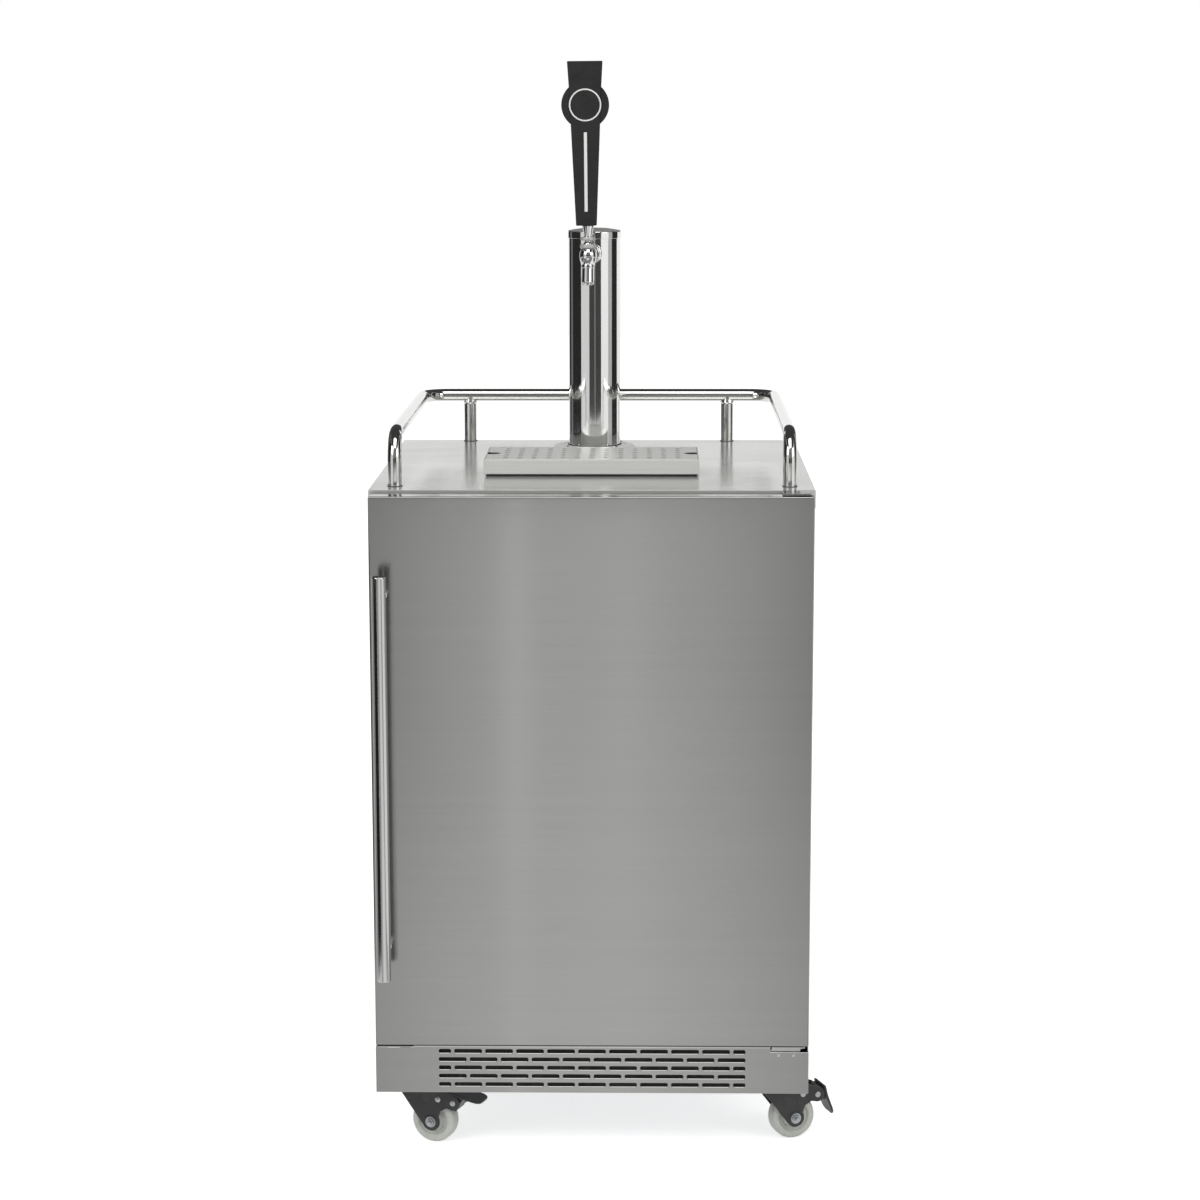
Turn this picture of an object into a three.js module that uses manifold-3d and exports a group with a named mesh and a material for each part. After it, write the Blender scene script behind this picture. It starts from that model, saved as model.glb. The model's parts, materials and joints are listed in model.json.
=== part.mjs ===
// Free-standing kegerator on four casters, with one tap on a column tower.
// Millimetres. X runs to the viewer's right, Y away from the viewer, Z up.
// The origin is on the floor, under the middle of the overall width and depth.
import * as THREE from 'three';
import { mergeVertices } from 'three/addons/utils/BufferGeometryUtils.js';
import Module from 'manifold-3d';

const wasm = await Module();
wasm.setup();

// Clearances and the one overrun that every cut uses
const seat_gap = 0.3;
const running_gap = 0.4;
const cut_over = 1;

// Cabinet
const body_width = 600;
const body_depth = 633;
const body_top = 899;
const front_gap = 45;
const sheet = 1;
const thick_sheet = 1.5;
const side_foam = 37;
const top_foam = 36;
const floor_foam = 36;
const back_foam = 35;
const liner_wall = 2;
const liner_flange = 1.5;
const machine_depth = 123;
const machine_top = 330;
const machine_wall = 38;

// Base and kick plate
const kick_height = 66;
const kick_top = 156;
const kick_return = 10;
const base_inset = 1.5;
const slot_length = 38.2;
const slot_height = 5.6;
const slot_gap = 4.55;
const slot_row_margin = 5;
const slot_side_margin = 80;
const slot_row_pitch = 11.9;
const slot_field_lift = 2.7;
const slot_end_cuts = 2;

// Door
const door_inset = 1.5;
const door_drop = 3;
const door_gap = 1.5;
const door_thickness = 40;
const door_inner_gap = 20;
const door_inner_margin = 52;
const door_inner_depth = 18;
const gasket_inset = 16;
const gasket_width = 14;
const gasket_margin = 13;
const pivot_inset = 11;
const pivot_depth = 22;
const pin_radius = 4;
const pin_reach = 15;
const pin_bore = 5;

// Hinge brackets
const bracket_width = 50;
const bracket_inset = 4;
const bracket_thickness = 3;
const bracket_lap = 28;
const bracket_front = 3;
const bracket_corner = 9;
const bracket_leaf = 14;
const bracket_notch = 6.5;
const spare_notch = 1.4;
const bracket_collar = 7;
const top_bracket_width = 44;
const top_bracket_leaf = 19;
const top_bracket_front = 9;
const top_bracket_thickness = 2.5;

// Door handle
const bar_diameter = 19;
const bar_foot = 107.5;
const bar_drop = 100;
const bar_inset = 18;
const bar_standoff = 50;
const bar_chamfer = 1;
const post_diameter = 12;
const post_inset = 34;

// Worktop and guard rail
const worktop_overhang = 2;
const worktop_height = 25;
const line_hole_radius = 25;
const rail_diameter = 19;
const rail_height = 71;
const rail_inset = 31;
const rail_front = 84.5;
const rail_back_inset = 11;
const rail_bend = 38;
const rail_post_inset = 71;

// Tower
const tower_inset = 190;
const tower_turn = -4.9;
const serving_offset = -3;
const flange_radius = 62.5;
const flange_height = 16;
const flange_edge = 8;
const flange_round_drop = 1.2;
const flange_round = 7;
const column_radius = 38.1;
const column_wall = 1.5;
const column_height = 330.5;
const foot_ring_height = 3;
const foot_ring_width = 1.6;
const cap_skirt = 10.7;
const cap_lip = 0.9;
const cap_dome = 2.4;
const insulation_bore = 14;
const line_radius = 4.8;

// Tap
const shank_height = 298.9;
const shank_radius = 11;
const shank_tail_radius = 6.5;
const shank_tail_start = 22;
const shank_tail_end = 6.5;
const shank_bore = 3.2;
const nipple_radius = 4;
const nipple_length = 28;
const nipple_bore = 2.4;
const shank_flange_radius = 15;
const shank_flange_thickness = 5;
const faucet_reach = 88;
const joint_reach = 60;
const nut_radius = 14.2;
const nut_length = 17;
const nut_lip = 4;
const tail_flange_radius = 10.8;
const tail_flange_length = 3;
const tail_radius = 9.4;
const inlet_bore = 7;
const inlet_length = 13;
const chamber_bore = 5;
const barrel_radius = 9.8;
const barrel_nose = 11;
const nose_radius = 5.8;
const nose_proud = 0.8;
const nose_drop = 4;
const chest_radius = 12.6;
const chest_bottom = 16;
const neck_radius = 9.2;
const spout_tilt = 8;
const spout_top = 10;
const spout_length = 42;
const spout_top_radius = 9.2;
const spout_end_radius = 8.4;
const spout_bore = 5.4;
const socket_radius = 7.8;

// Tap lever and handle
const pivot_rise = 14;
const bonnet_radius = 12.6;
const bonnet_top = 2;
const bonnet_bottom = 3.6;
const ball_radius = 7.2;
const lever_neck_radius = 4.6;
const collar_bottom = 7.6;
const collar_edge = 9;
const collar_top = 11.6;
const collar_radius = 10.8;
const ferrule_bottom_radius = 7.2;
const ferrule_top_radius = 8.9;
const ferrule_height = 16.5;
const tang_radius = 1.9;
const tang_length = 18;
const plunger_radius = 4.5;
const plunger_front = 9;
const plunger_slot_half = 6.4;
const plunger_slot_width = 4.8;
const valve_radius = 6.2;
const valve_thickness = 3;
const valve_seat = 14;
const handle_height = 232;
const handle_bottom_width = 29.4;
const handle_top_width = 50.4;
const handle_waist_drop = 34;
const handle_waist_width = 46.3;
const handle_disc_drop = 61.5;
const handle_disc_radius = 34;
const handle_thickness = 19;
const handle_edge = 1.5;
const handle_lean = 0.5;
const handle_aside = 2.2;

// Drip tray
const tray_width = 301;
const tray_depth = 156;
const tray_reach = 259;
const tray_height = 20.5;
const tray_wall = 1.2;
const mat_inset = 3.4;
const mat_thickness = 3.5;
const grill_gap = 1.8;
const grill_leg_inset = 6;
const grill_side_margin = 3;
const grill_front_margin = 15;
const grill_pitch_x = 20.2;
const grill_pitch_y = 21;
const grill_hole = 8.5;
const grill_notch_depth = 18.5;
const grill_notch_width = 26;

// Casters
const caster_height = 104;
const caster_side_inset = 48.5;
const caster_inset = 69;
const caster_trail = 31;
const wheel_radius = 31.75;
const wheel_half_width = 11;
const wheel_tread = 13;
const wheel_shoulder = 2.6;
const wheel_web_half = 8;
const wheel_web_outer = 20;
const wheel_rim_inner = 22;
const hub_radius = 10;
const axle_radius = 4;
const cheek_inside = 15;
const cheek_thickness = 2.5;
const axle_nut_radius = 7.8;
const axle_nut_height = 7;
const axle_end = 3;
const axle_lobe = 13;
const crown_height = 86.5;
const crown_thickness = 2.5;
const crown_left = 26;
const crown_right = 30;
const race_radius = 23.5;
const race_height = 5.5;
const kingpin_radius = 6;
const caster_plate = 64;
const caster_plate_thickness = 2.5;
const upper_race_radius = 20;
const lever_run = 33.5;
const lever_rise = 31;
const lever_lobe = 10.5;
const lever_pin_radius = 3;
const lever_pin_head = 1.5;
const lever_travel = 58;
const pedal_length = 43;
const pedal_half_width = 18;
const pedal_corner = 9;

// Places on the fork's cheek, as shares of the way from the axle to the lever's pin
const cheek_underside_shares = [[0.43, 0.55], [0.7, 0.72]];

// The brake lever's outlines about its pin with the brake on, as shares of the pedal's length:
// the cam between the cheeks, and the wide pedal outside them
const cam_shares = [
  [0.24, 0.2], [0.3, -0.06], [0.3, -0.22], [0.1, -0.2], [-0.2, -0.22],
  [-0.24, -0.16], [-0.16, 0.02], [0.04, 0.2],
];
const pedal_shares = [
  [0.2, 0.26], [0.28, 0.27], [0.37, -0.08], [0.64, -0.77], [0.57, -0.8], [0.3, -0.14],
];

// Machine space and cooling
const compressor_inset = 148.5;
const compressor_radius = 54;
const compressor_height = 146;
const compressor_foot_width = 150;
const compressor_foot_depth = 96;
const compressor_foot_height = 8;
const compressor_foot_sheet = 3;
const grommet_radius = 8;
const grommet_inset = 14;
const condenser_inset = 83.5;
const condenser_width = 46;
const condenser_depth = 100;
const condenser_rise = 6.5;
const condenser_headroom = 50;
const fin_count = 7;
const fin_thickness = 1.4;
const fin_tube_radius = 4;
const shroud_thickness = 2;
const fan_radius = 44;
const fan_gap = 2.5;
const hub_fan_radius = 13;
const blade_count = 5;
const blade_chord = 26;
const blade_thickness = 1.6;
const blade_pitch = 32;
const fan_depth = 16;
const motor_gap = 5;
const motor_radius = 18;
const motor_length = 30;
const small_motor_length = 10;
const arm_width = 8;
const arm_thickness = 3;
const shaft_radius = 2.5;
const evaporator_gap = 14;
const evaporator_height = 220;
const evaporator_depth = 46;
const evaporator_drop = 24;
const evaporator_wall = 2;
const coil_depth = 26;
const coil_margin = 14;
const circulation_fan_radius = 48;
const thermostat_width = 96;
const thermostat_height = 64;
const thermostat_depth = 34;
const thermostat_drop = 40;
const knob_radius = 17;
const knob_height = 14;
const knob_grip = 5;
const light_width = 120;
const light_depth = 26;
const light_height = 10;
const light_front = 40;
const louvre_row_margin = 40;
const louvre_side_margin = 60;
const louvre_length = 96;
const louvre_height = 6;
const louvre_pitch_x = 118;
const louvre_pitch_z = 18;
const cover_sheet = 1.2;

// Facets on round pieces
const fine = 32;
const round = 24;
const medium = 16;
const small = 12;
const tiny = 8;
const hexagonal = 6;

// Values that follow from the driving dimensions
const bar_radius = bar_diameter / 2;
const bar_reach = bar_standoff + bar_radius;
const overall_depth = bar_reach + body_depth;
const front_y = bar_reach - overall_depth / 2;

// Widths, from the middle of the cabinet
const half_body = body_width / 2;
const base_width = body_width - 2 * base_inset;
const half_base = base_width / 2;
const door_width = body_width - 2 * door_inset;
const half_door = door_width / 2;
const worktop_width = body_width + 2 * worktop_overhang;
const gasket_outer_width = body_width - 2 * gasket_inset;
const door_inner_width = gasket_outer_width - 2 * (gasket_width + door_inner_gap);
const pivot_x = half_door - pivot_inset;
const bracket_right = half_body - bracket_inset;
const bracket_left = bracket_right - bracket_width;
const top_bracket_right = half_body;
const top_bracket_left = top_bracket_right - top_bracket_width;
const rail_half_width = half_body - rail_inset;
const rail_rear_post = rail_half_width - rail_post_inset;
const caster_x = half_base - caster_side_inset;
const compressor_x = half_base - compressor_inset;
const condenser_x = condenser_inset - half_base;

// Heights of the cabinet's outside
const kick_bottom = kick_top - kick_height;
const slot_field_centre = (kick_bottom + kick_top) / 2 + slot_field_lift;
const worktop_top = body_top + worktop_height;
const door_bottom = kick_top + door_gap;
const door_top = worktop_top - door_drop;
const bar_top = door_top - bar_drop;
const bar_length = bar_top - door_bottom - bar_foot;
const bar_bottom = bar_top - bar_length;

// Depths behind the door's front face
const rail_back = body_depth - rail_back_inset;
const tower_depth = body_depth - tower_inset;
const tray_front = tower_depth - tray_reach;
const tray_centre_y = tray_front + tray_depth / 2;

// Liner and what hangs in it
const liner_outer_half = half_body - sheet - side_foam;
const liner_outer_top = body_top - sheet - top_foam;
const liner_outer_bottom = kick_top + sheet + floor_foam;
const liner_outer_back = body_depth - sheet - back_foam;
const liner_inner_half = liner_outer_half - liner_wall;
const liner_inner_top = liner_outer_top - liner_wall;
const liner_inner_bottom = liner_outer_bottom + liner_wall;
const liner_inner_back = liner_outer_back - liner_wall;
const thermostat_x = liner_inner_half - thermostat_width / 2;
const thermostat_top = liner_inner_top - thermostat_drop;
const evaporator_width = 2 * (liner_inner_half - thermostat_width - evaporator_gap);
const evaporator_top = liner_inner_top - evaporator_drop;

// Machine space and what stands in it
const machine_front = body_depth - machine_depth;
const machine_mid = machine_front + machine_depth / 2;
const hump_front = machine_front - machine_wall;
const hump_top = machine_top + machine_wall;
const pan_floor = caster_height + thick_sheet;
const condenser_bottom = pan_floor + condenser_rise;
const condenser_height = machine_top - condenser_headroom - condenser_bottom;
const fin_pitch = condenser_height / (fin_count - 1);

// Heights of the tower, tap and tray
const tower_floor = worktop_top;
const flange_top = tower_floor + flange_height;
const column_top = tower_floor + column_height;
const shank_z = tower_floor + shank_height;
const lever_pivot = shank_z + pivot_rise;
const ferrule_bottom = lever_pivot + collar_top;
const ferrule_top = ferrule_bottom + ferrule_height;
const handle_waist_height = handle_height - handle_waist_drop;
const handle_disc_height = handle_height - handle_disc_drop;
const tray_bottom = worktop_top + mat_thickness;
const tray_top = tray_bottom + tray_height;

// Depths are given behind the front face of the door, and this turns one into Y.
function behind(depth) {
  return front_y + depth;
}

// How many copies of one size fit in a room at a pitch.
function copiesIn(room, size, pitch) {
  return Math.floor((room - size) / pitch) + 1;
}

// Turns a three.js geometry into a solid that can be joined and cut.
function solidOf(geometry) {
  const bare = geometry.clone();
  bare.deleteAttribute('normal');
  bare.deleteAttribute('uv');
  const merged = mergeVertices(bare);
  const places = merged.attributes.position.array;
  const corners = merged.index.array;
  const triangles = [];
  for (let i = 0; i < corners.length; i += 3) {
    const [a, b, c] = [corners[i], corners[i + 1], corners[i + 2]];
    if (a !== b && b !== c && c !== a) triangles.push(a, b, c);
  }
  return new wasm.Manifold(new wasm.Mesh({
    numProp: 3,
    vertProperties: new Float32Array(places),
    triVerts: new Uint32Array(facingOut(places, triangles)),
  }));
}

// A profile may run either way round, so an inside-out shell is turned over.
function facingOut(places, triangles) {
  const corner = (index) => new THREE.Vector3().fromArray(places, index * 3);
  let volume = 0;
  for (let i = 0; i < triangles.length; i += 3) {
    const [a, b, c] = [0, 1, 2].map((step) => corner(triangles[i + step]));
    volume += a.dot(b.cross(c));
  }
  return volume < 0 ? triangles.reverse() : triangles;
}

// Turns a finished solid back into a geometry with flat faces.
function geometryOf(solid) {
  const mesh = solid.getMesh();
  const geometry = new THREE.BufferGeometry();
  const places = new Float32Array(mesh.numVert * 3);
  for (let i = 0; i < mesh.numVert; i += 1) {
    for (let axis = 0; axis < 3; axis += 1) {
      places[i * 3 + axis] = mesh.vertProperties[i * mesh.numProp + axis];
    }
  }
  geometry.setAttribute('position', new THREE.BufferAttribute(places, 3));
  geometry.setIndex(new THREE.BufferAttribute(new Uint32Array(mesh.triVerts), 1));
  return geometry;
}

// A box from its lowest and highest X, Y and Z, still to be turned or made a solid.
function boxBetween([x0, x1], [y0, y1], [z0, z1]) {
  const box = new THREE.BoxGeometry(x1 - x0, y1 - y0, z1 - z0);
  return box.translate((x0 + x1) / 2, (y0 + y1) / 2, (z0 + z1) / 2);
}

function block(...ranges) {
  return solidOf(boxBetween(...ranges));
}

// A block across the middle of the cabinet, with its depths behind the door front.
function acrossBlock(half_width, [d0, d1], heights) {
  return block([-half_width, half_width], [behind(d0), behind(d1)], heights);
}

// A round bar between two points, and a cone where the second radius differs.
function rod(from, to, radius, sides = medium, end_radius = radius) {
  const start = new THREE.Vector3(...from);
  const along = new THREE.Vector3(...to).sub(start);
  const bar = new THREE.CylinderGeometry(end_radius, radius, along.length(), sides);
  const up = new THREE.Vector3(0, 1, 0);
  const turn = new THREE.Quaternion().setFromUnitVectors(up, along.clone().normalize());
  bar.applyQuaternion(turn);
  const middle = start.add(along.multiplyScalar(0.5));
  bar.translate(middle.x, middle.y, middle.z);
  return solidOf(bar);
}

// A profile of [radius, height] pairs turned about a vertical axis at [x, y].
function turned(profile, sides = round, [x, y] = [0, 0]) {
  const points = profile.map(([radius, height]) => new THREE.Vector2(radius, height));
  const lathe = new THREE.LatheGeometry(points, sides);
  lathe.rotateX(Math.PI / 2);
  lathe.translate(x, y, 0);
  return solidOf(lathe);
}

// An outline of [x, z] points with holes, made a plate from y0 to y1.
function upright(outline, [y0, y1], holes = []) {
  const plate = new THREE.ExtrudeGeometry(shapeOf(outline, holes), { depth: y1 - y0, bevelEnabled: false });
  plate.rotateX(Math.PI / 2);
  plate.translate(0, y1, 0);
  return solidOf(plate);
}

// An outline of [x, y] points with holes, made a plate from z0 to z1.
function flatPlate(outline, [z0, z1], holes = []) {
  const plate = new THREE.ExtrudeGeometry(shapeOf(outline, holes), { depth: z1 - z0, bevelEnabled: false });
  plate.translate(0, 0, z0);
  return solidOf(plate);
}

function shapeOf(outline, holes) {
  const shape = new THREE.Shape(outline.map(([x, y]) => new THREE.Vector2(x, y)));
  shape.holes = holes.map((hole) => new THREE.Path(hole.map(([x, y]) => new THREE.Vector2(x, y))));
  return shape;
}

function rectangle([x0, x1], [y0, y1]) {
  return [[x0, y0], [x1, y0], [x1, y1], [x0, y1]];
}

// Points on an arc, both ends included.
function arc([cx, cy], radius, from_degrees, to_degrees, cuts) {
  const points = [];
  for (let i = 0; i <= cuts; i += 1) {
    const angle = THREE.MathUtils.degToRad(from_degrees + (to_degrees - from_degrees) * i / cuts);
    points.push([cx + radius * Math.cos(angle), cy + radius * Math.sin(angle)]);
  }
  return points;
}

function circle(centre, radius, sides) {
  return arc(centre, radius, 0, 360, sides).slice(0, -1);
}

function roundEnded([cx, cy], length, height) {
  const radius = height / 2;
  const reach = length / 2 - radius;
  return [
    ...arc([cx + reach, cy], radius, -90, 90, slot_end_cuts),
    ...arc([cx - reach, cy], radius, 90, 270, slot_end_cuts),
  ];
}

function joined(first, ...rest) {
  return rest.reduce((whole, next) => whole.add(next), first);
}

function cut(first, ...rest) {
  return rest.reduce((whole, next) => whole.subtract(next), first);
}

// A path of straight runs and round corners, with one step to a run and a few to a corner.
class BentPath extends THREE.Curve {
  constructor(pieces) {
    super();
    this.pieces = pieces;
    this.steps = pieces.reduce((sum, piece) => sum + piece.steps, 0);
  }

  getPoint(t, target = new THREE.Vector3()) {
    let step = Math.min(Math.max(t, 0), 1) * this.steps;
    for (const piece of this.pieces) {
      if (step <= piece.steps) return target.copy(piece.at(step / piece.steps));
      step -= piece.steps;
    }
    const last = this.pieces[this.pieces.length - 1];
    return target.copy(last.at(1));
  }

  getUtoTmapping(u) {
    return u;
  }
}

// Rounds each inner corner of a route with the given radius.
function bentPath(route, radius, corner_steps) {
  const points = route.map((point) => new THREE.Vector3(...point));
  const pieces = [];
  let here = points[0];
  for (let i = 1; i < points.length - 1; i += 1) {
    const into = points[i].clone().sub(points[i - 1]).normalize();
    const out = points[i + 1].clone().sub(points[i]).normalize();
    const start = points[i].clone().addScaledVector(into, -radius);
    const centre = start.clone().addScaledVector(out, radius);
    pieces.push(straightPiece(here, start), cornerPiece(centre, into, out, radius, corner_steps));
    here = points[i].clone().addScaledVector(out, radius);
  }
  pieces.push(straightPiece(here, points[points.length - 1]));
  return new BentPath(pieces);
}

function straightPiece(from, to) {
  return { steps: 1, at: (share) => from.clone().lerp(to, share) };
}

function cornerPiece(centre, into, out, radius, steps) {
  const at = (share) => {
    const angle = share * Math.PI / 2;
    return centre.clone()
      .addScaledVector(into, radius * Math.sin(angle))
      .addScaledVector(out, -radius * Math.cos(angle));
  };
  return { steps, at };
}

function tubeAlong(path, radius, sides) {
  const section = shapeOf(circle([0, 0], radius, sides), []);
  const options = { steps: path.steps, extrudePath: path, bevelEnabled: false };
  return solidOf(new THREE.ExtrudeGeometry(section, options));
}

// Finishes, with the colours of the real pieces
const finishes = {
  brushed: { color: 0xa9a9a6, roughness: 0.35, metalness: 1 },
  polished: { color: 0xc9c9c6, roughness: 0.15, metalness: 1 },
  chrome: { color: 0xdadada, roughness: 0.06, metalness: 1 },
  galvanised: { color: 0x9aa0a2, roughness: 0.55, metalness: 0.9 },
  aluminium: { color: 0xbfc1c2, roughness: 0.45, metalness: 1 },
  black_steel: { color: 0x1b1b1c, roughness: 0.45, metalness: 0.3 },
  handle_black: { color: 0x232324, roughness: 0.6, metalness: 0 },
  black_plastic: { color: 0x18181a, roughness: 0.6, metalness: 0 },
  white_plastic: { color: 0xe4e4e0, roughness: 0.45, metalness: 0 },
  wheel_grey: { color: 0xb9bab3, roughness: 0.5, metalness: 0 },
  rubber: { color: 0x141414, roughness: 0.8, metalness: 0 },
  foam: { color: 0xe6d9a8, roughness: 0.95, metalness: 0 },
  clear_hose: { color: 0xd8dcd8, roughness: 0.3, metalness: 0 },
  lens: { color: 0xf4f4ec, roughness: 0.25, metalness: 0 },
};

function piece(name, solid, finish) {
  const mesh = new THREE.Mesh(geometryOf(solid), new THREE.MeshStandardMaterial(finishes[finish]));
  mesh.name = name;
  return mesh;
}

const kegerator = new THREE.Group();

// Cabinet shell, foam and liner
function machineSpace(half_width, margin) {
  return acrossBlock(
    half_width,
    [machine_front - margin, body_depth + cut_over],
    [kick_top - cut_over, machine_top + margin],
  );
}

function foamSpace() {
  const space = acrossBlock(
    half_body - sheet,
    [front_gap - cut_over, body_depth - sheet],
    [kick_top + sheet, body_top - sheet],
  );
  return cut(space, machineSpace(half_body, sheet));
}

function lineHole(z0, z1, radius = line_hole_radius) {
  const centre = [serving_offset, behind(tower_depth)];
  return rod([...centre, z0], [...centre, z1], radius, round);
}

function linerSolid(half_width, back, bottom, top, front, hump_margin) {
  const whole = acrossBlock(half_width, [front, back], [bottom, top]);
  const hump = acrossBlock(
    half_width + cut_over,
    [hump_front - hump_margin, back + cut_over],
    [bottom - cut_over, hump_top + hump_margin],
  );
  return cut(whole, hump);
}

function linerOutside(front) {
  return linerSolid(liner_outer_half, liner_outer_back, liner_outer_bottom, liner_outer_top, front, 0);
}

function linerInside(front) {
  return linerSolid(
    liner_inner_half, liner_inner_back, liner_inner_bottom, liner_inner_top, front, liner_wall,
  );
}

function cabinetShell() {
  const outside = acrossBlock(half_body, [front_gap, body_depth], [kick_top, body_top]);
  const walls = cut(outside, machineSpace(half_body - sheet, 0), foamSpace());
  return cut(walls, lineHole(body_top - sheet - cut_over, body_top + cut_over));
}

function cabinetFoam() {
  const front = front_gap + liner_flange;
  const ahead = acrossBlock(
    half_body,
    [0, front],
    [kick_top - cut_over, body_top + cut_over],
  );
  return cut(
    foamSpace(),
    ahead,
    linerOutside(front_gap),
    lineHole(liner_outer_top - cut_over, body_top + cut_over),
  );
}

function innerLiner() {
  const flange = acrossBlock(
    half_body - sheet,
    [front_gap, front_gap + liner_flange],
    [kick_top + sheet, body_top - sheet],
  );
  return cut(
    joined(linerOutside(front_gap), flange),
    linerInside(front_gap - cut_over),
    lineHole(liner_inner_top - cut_over, liner_outer_top + cut_over),
  );
}

kegerator.add(
  piece('cabinet_shell', cabinetShell(), 'brushed'),
  piece('cabinet_foam', cabinetFoam(), 'foam'),
  piece('inner_liner', innerLiner(), 'white_plastic'),
);

// Worktop: a folded sheet that caps the cabinet, with a hole for the beer line
function worktop() {
  const outside = acrossBlock(worktop_width / 2, [front_gap, body_depth], [body_top, worktop_top]);
  const inside = acrossBlock(
    worktop_width / 2 - thick_sheet,
    [front_gap + thick_sheet, body_depth - thick_sheet],
    [body_top - cut_over, worktop_top - thick_sheet],
  );
  return cut(outside, inside, lineHole(worktop_top - thick_sheet - cut_over, worktop_top + cut_over));
}

// Guard rail: one bent tube with two front legs, and two short posts welded under its back run
function guardRail() {
  const foot = worktop_top + seat_gap;
  const height = worktop_top + rail_height;
  const corner_steps = 5;
  const path = bentPath([
    [-rail_half_width, behind(rail_front), foot],
    [-rail_half_width, behind(rail_front), height],
    [-rail_half_width, behind(rail_back), height],
    [rail_half_width, behind(rail_back), height],
    [rail_half_width, behind(rail_front), height],
    [rail_half_width, behind(rail_front), foot],
  ], rail_bend, corner_steps);
  const posts = [-rail_rear_post, rail_rear_post].map((x) => rod(
    [x, behind(rail_back), foot],
    [x, behind(rail_back), height],
    rail_diameter / 2,
    small,
  ));
  return joined(tubeAlong(path, rail_diameter / 2, small), ...posts);
}

kegerator.add(
  piece('worktop', worktop(), 'brushed'),
  piece('guard_rail', guardRail(), 'polished'),
);

// Base pan and kick plate
function basePan() {
  const outside = acrossBlock(half_base, [kick_return, body_depth], [caster_height, kick_top]);
  const inside = acrossBlock(
    half_base - thick_sheet,
    [kick_return - cut_over, body_depth + cut_over],
    [pan_floor, kick_top + cut_over],
  );
  return cut(outside, inside);
}

const slot_rows = copiesIn(kick_height - 2 * slot_row_margin, slot_height, slot_row_pitch);
const slots_in_long_row = copiesIn(base_width - 2 * slot_side_margin, slot_length, slot_length + slot_gap);

function slotRow(row) {
  const z = slot_field_centre + (row - (slot_rows - 1) / 2) * slot_row_pitch;
  const pitch = slot_length + slot_gap;
  const field = slots_in_long_row * pitch - slot_gap;
  if (row % 2 === 1) {
    return Array.from({ length: slots_in_long_row }, (_, i) => (
      roundEnded([-field / 2 + slot_length / 2 + i * pitch, z], slot_length, slot_height)
    ));
  }
  const short = (slot_length - slot_gap) / 2;
  const full = Array.from({ length: slots_in_long_row - 1 }, (_, i) => (
    roundEnded([-field / 2 + short + slot_gap + slot_length / 2 + i * pitch, z], slot_length, slot_height)
  ));
  const ends = [-1, 1].map((side) => roundEnded([side * (field - short) / 2, z], short, slot_height));
  return [...full, ...ends];
}

function kickPlate() {
  const slots = Array.from({ length: slot_rows }, (_, row) => slotRow(row)).flat();
  const face = upright(
    rectangle([-half_base, half_base], [kick_bottom, kick_top]),
    [behind(0), behind(thick_sheet)],
    slots,
  );
  const sides = [-1, 1].map((side) => block(
    [Math.min(side * half_base, side * (half_base - thick_sheet)),
      Math.max(side * half_base, side * (half_base - thick_sheet))],
    [behind(0), behind(kick_return)],
    [kick_bottom, kick_top],
  ));
  const top = acrossBlock(half_base, [0, kick_return], [kick_top - thick_sheet, kick_top]);
  const notch = block(
    [bracket_left - seat_gap, half_base + cut_over],
    [behind(-cut_over), behind(kick_return + cut_over)],
    [kick_top - bracket_notch, kick_top + cut_over],
  );
  const spare = block(
    [-half_base - cut_over, -bracket_left],
    [behind(-cut_over), behind(kick_return + cut_over)],
    [kick_top - spare_notch, kick_top + cut_over],
  );
  return cut(joined(face, ...sides, top), notch, spare);
}

kegerator.add(
  piece('base_pan', basePan(), 'galvanised'),
  piece('kick_plate', kickPlate(), 'brushed'),
);

// Hinge brackets with their pins
function bottomBracket() {
  const z0 = kick_top - bracket_thickness;
  const outline = [
    ...arc([bracket_right - bracket_corner, behind(bracket_front + bracket_corner)],
      bracket_corner, -90, 0, slot_end_cuts),
    [bracket_right, behind(front_gap + bracket_lap)],
    [bracket_left, behind(front_gap + bracket_lap)],
    [bracket_left, behind(bracket_front)],
  ];
  const leaf = block(
    [bracket_left, bracket_right - bracket_corner],
    [behind(bracket_front), behind(bracket_front + bracket_thickness)],
    [kick_top - bracket_leaf, z0 + cut_over],
  );
  const under_flange = block(
    [bracket_left - cut_over, bracket_left + thick_sheet],
    [behind(0), behind(kick_return + seat_gap)],
    [z0 - cut_over, kick_top + cut_over],
  );
  const axis = [pivot_x, behind(pivot_depth)];
  return cut(joined(
    flatPlate(outline, [z0, kick_top]),
    leaf,
    rod([...axis, z0 + cut_over], [...axis, kick_top + door_gap - seat_gap], bracket_collar, medium),
    rod([...axis, z0 + cut_over], [...axis, door_bottom + pin_reach], pin_radius, small),
  ), under_flange);
}

function topBracket() {
  const z0 = worktop_top - top_bracket_thickness;
  const back = behind(front_gap);
  const outline = [
    [top_bracket_left, behind(top_bracket_front)],
    ...arc([top_bracket_right - bracket_corner, behind(top_bracket_front + bracket_corner)],
      bracket_corner, -90, 0, slot_end_cuts),
    [top_bracket_right, back],
    [top_bracket_left, back],
  ];
  const leaf = block(
    [top_bracket_left, top_bracket_right],
    [back - thick_sheet, back],
    [worktop_top - top_bracket_leaf, z0 + cut_over],
  );
  const axis = [pivot_x, behind(pivot_depth)];
  return joined(
    flatPlate(outline, [z0, worktop_top]),
    leaf,
    rod([...axis, door_top - pin_reach], [...axis, z0 + cut_over], pin_radius, small),
  );
}

kegerator.add(
  piece('hinge_bracket_bottom', bottomBracket(), 'polished'),
  piece('hinge_bracket_top', topBracket(), 'polished'),
);

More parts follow.
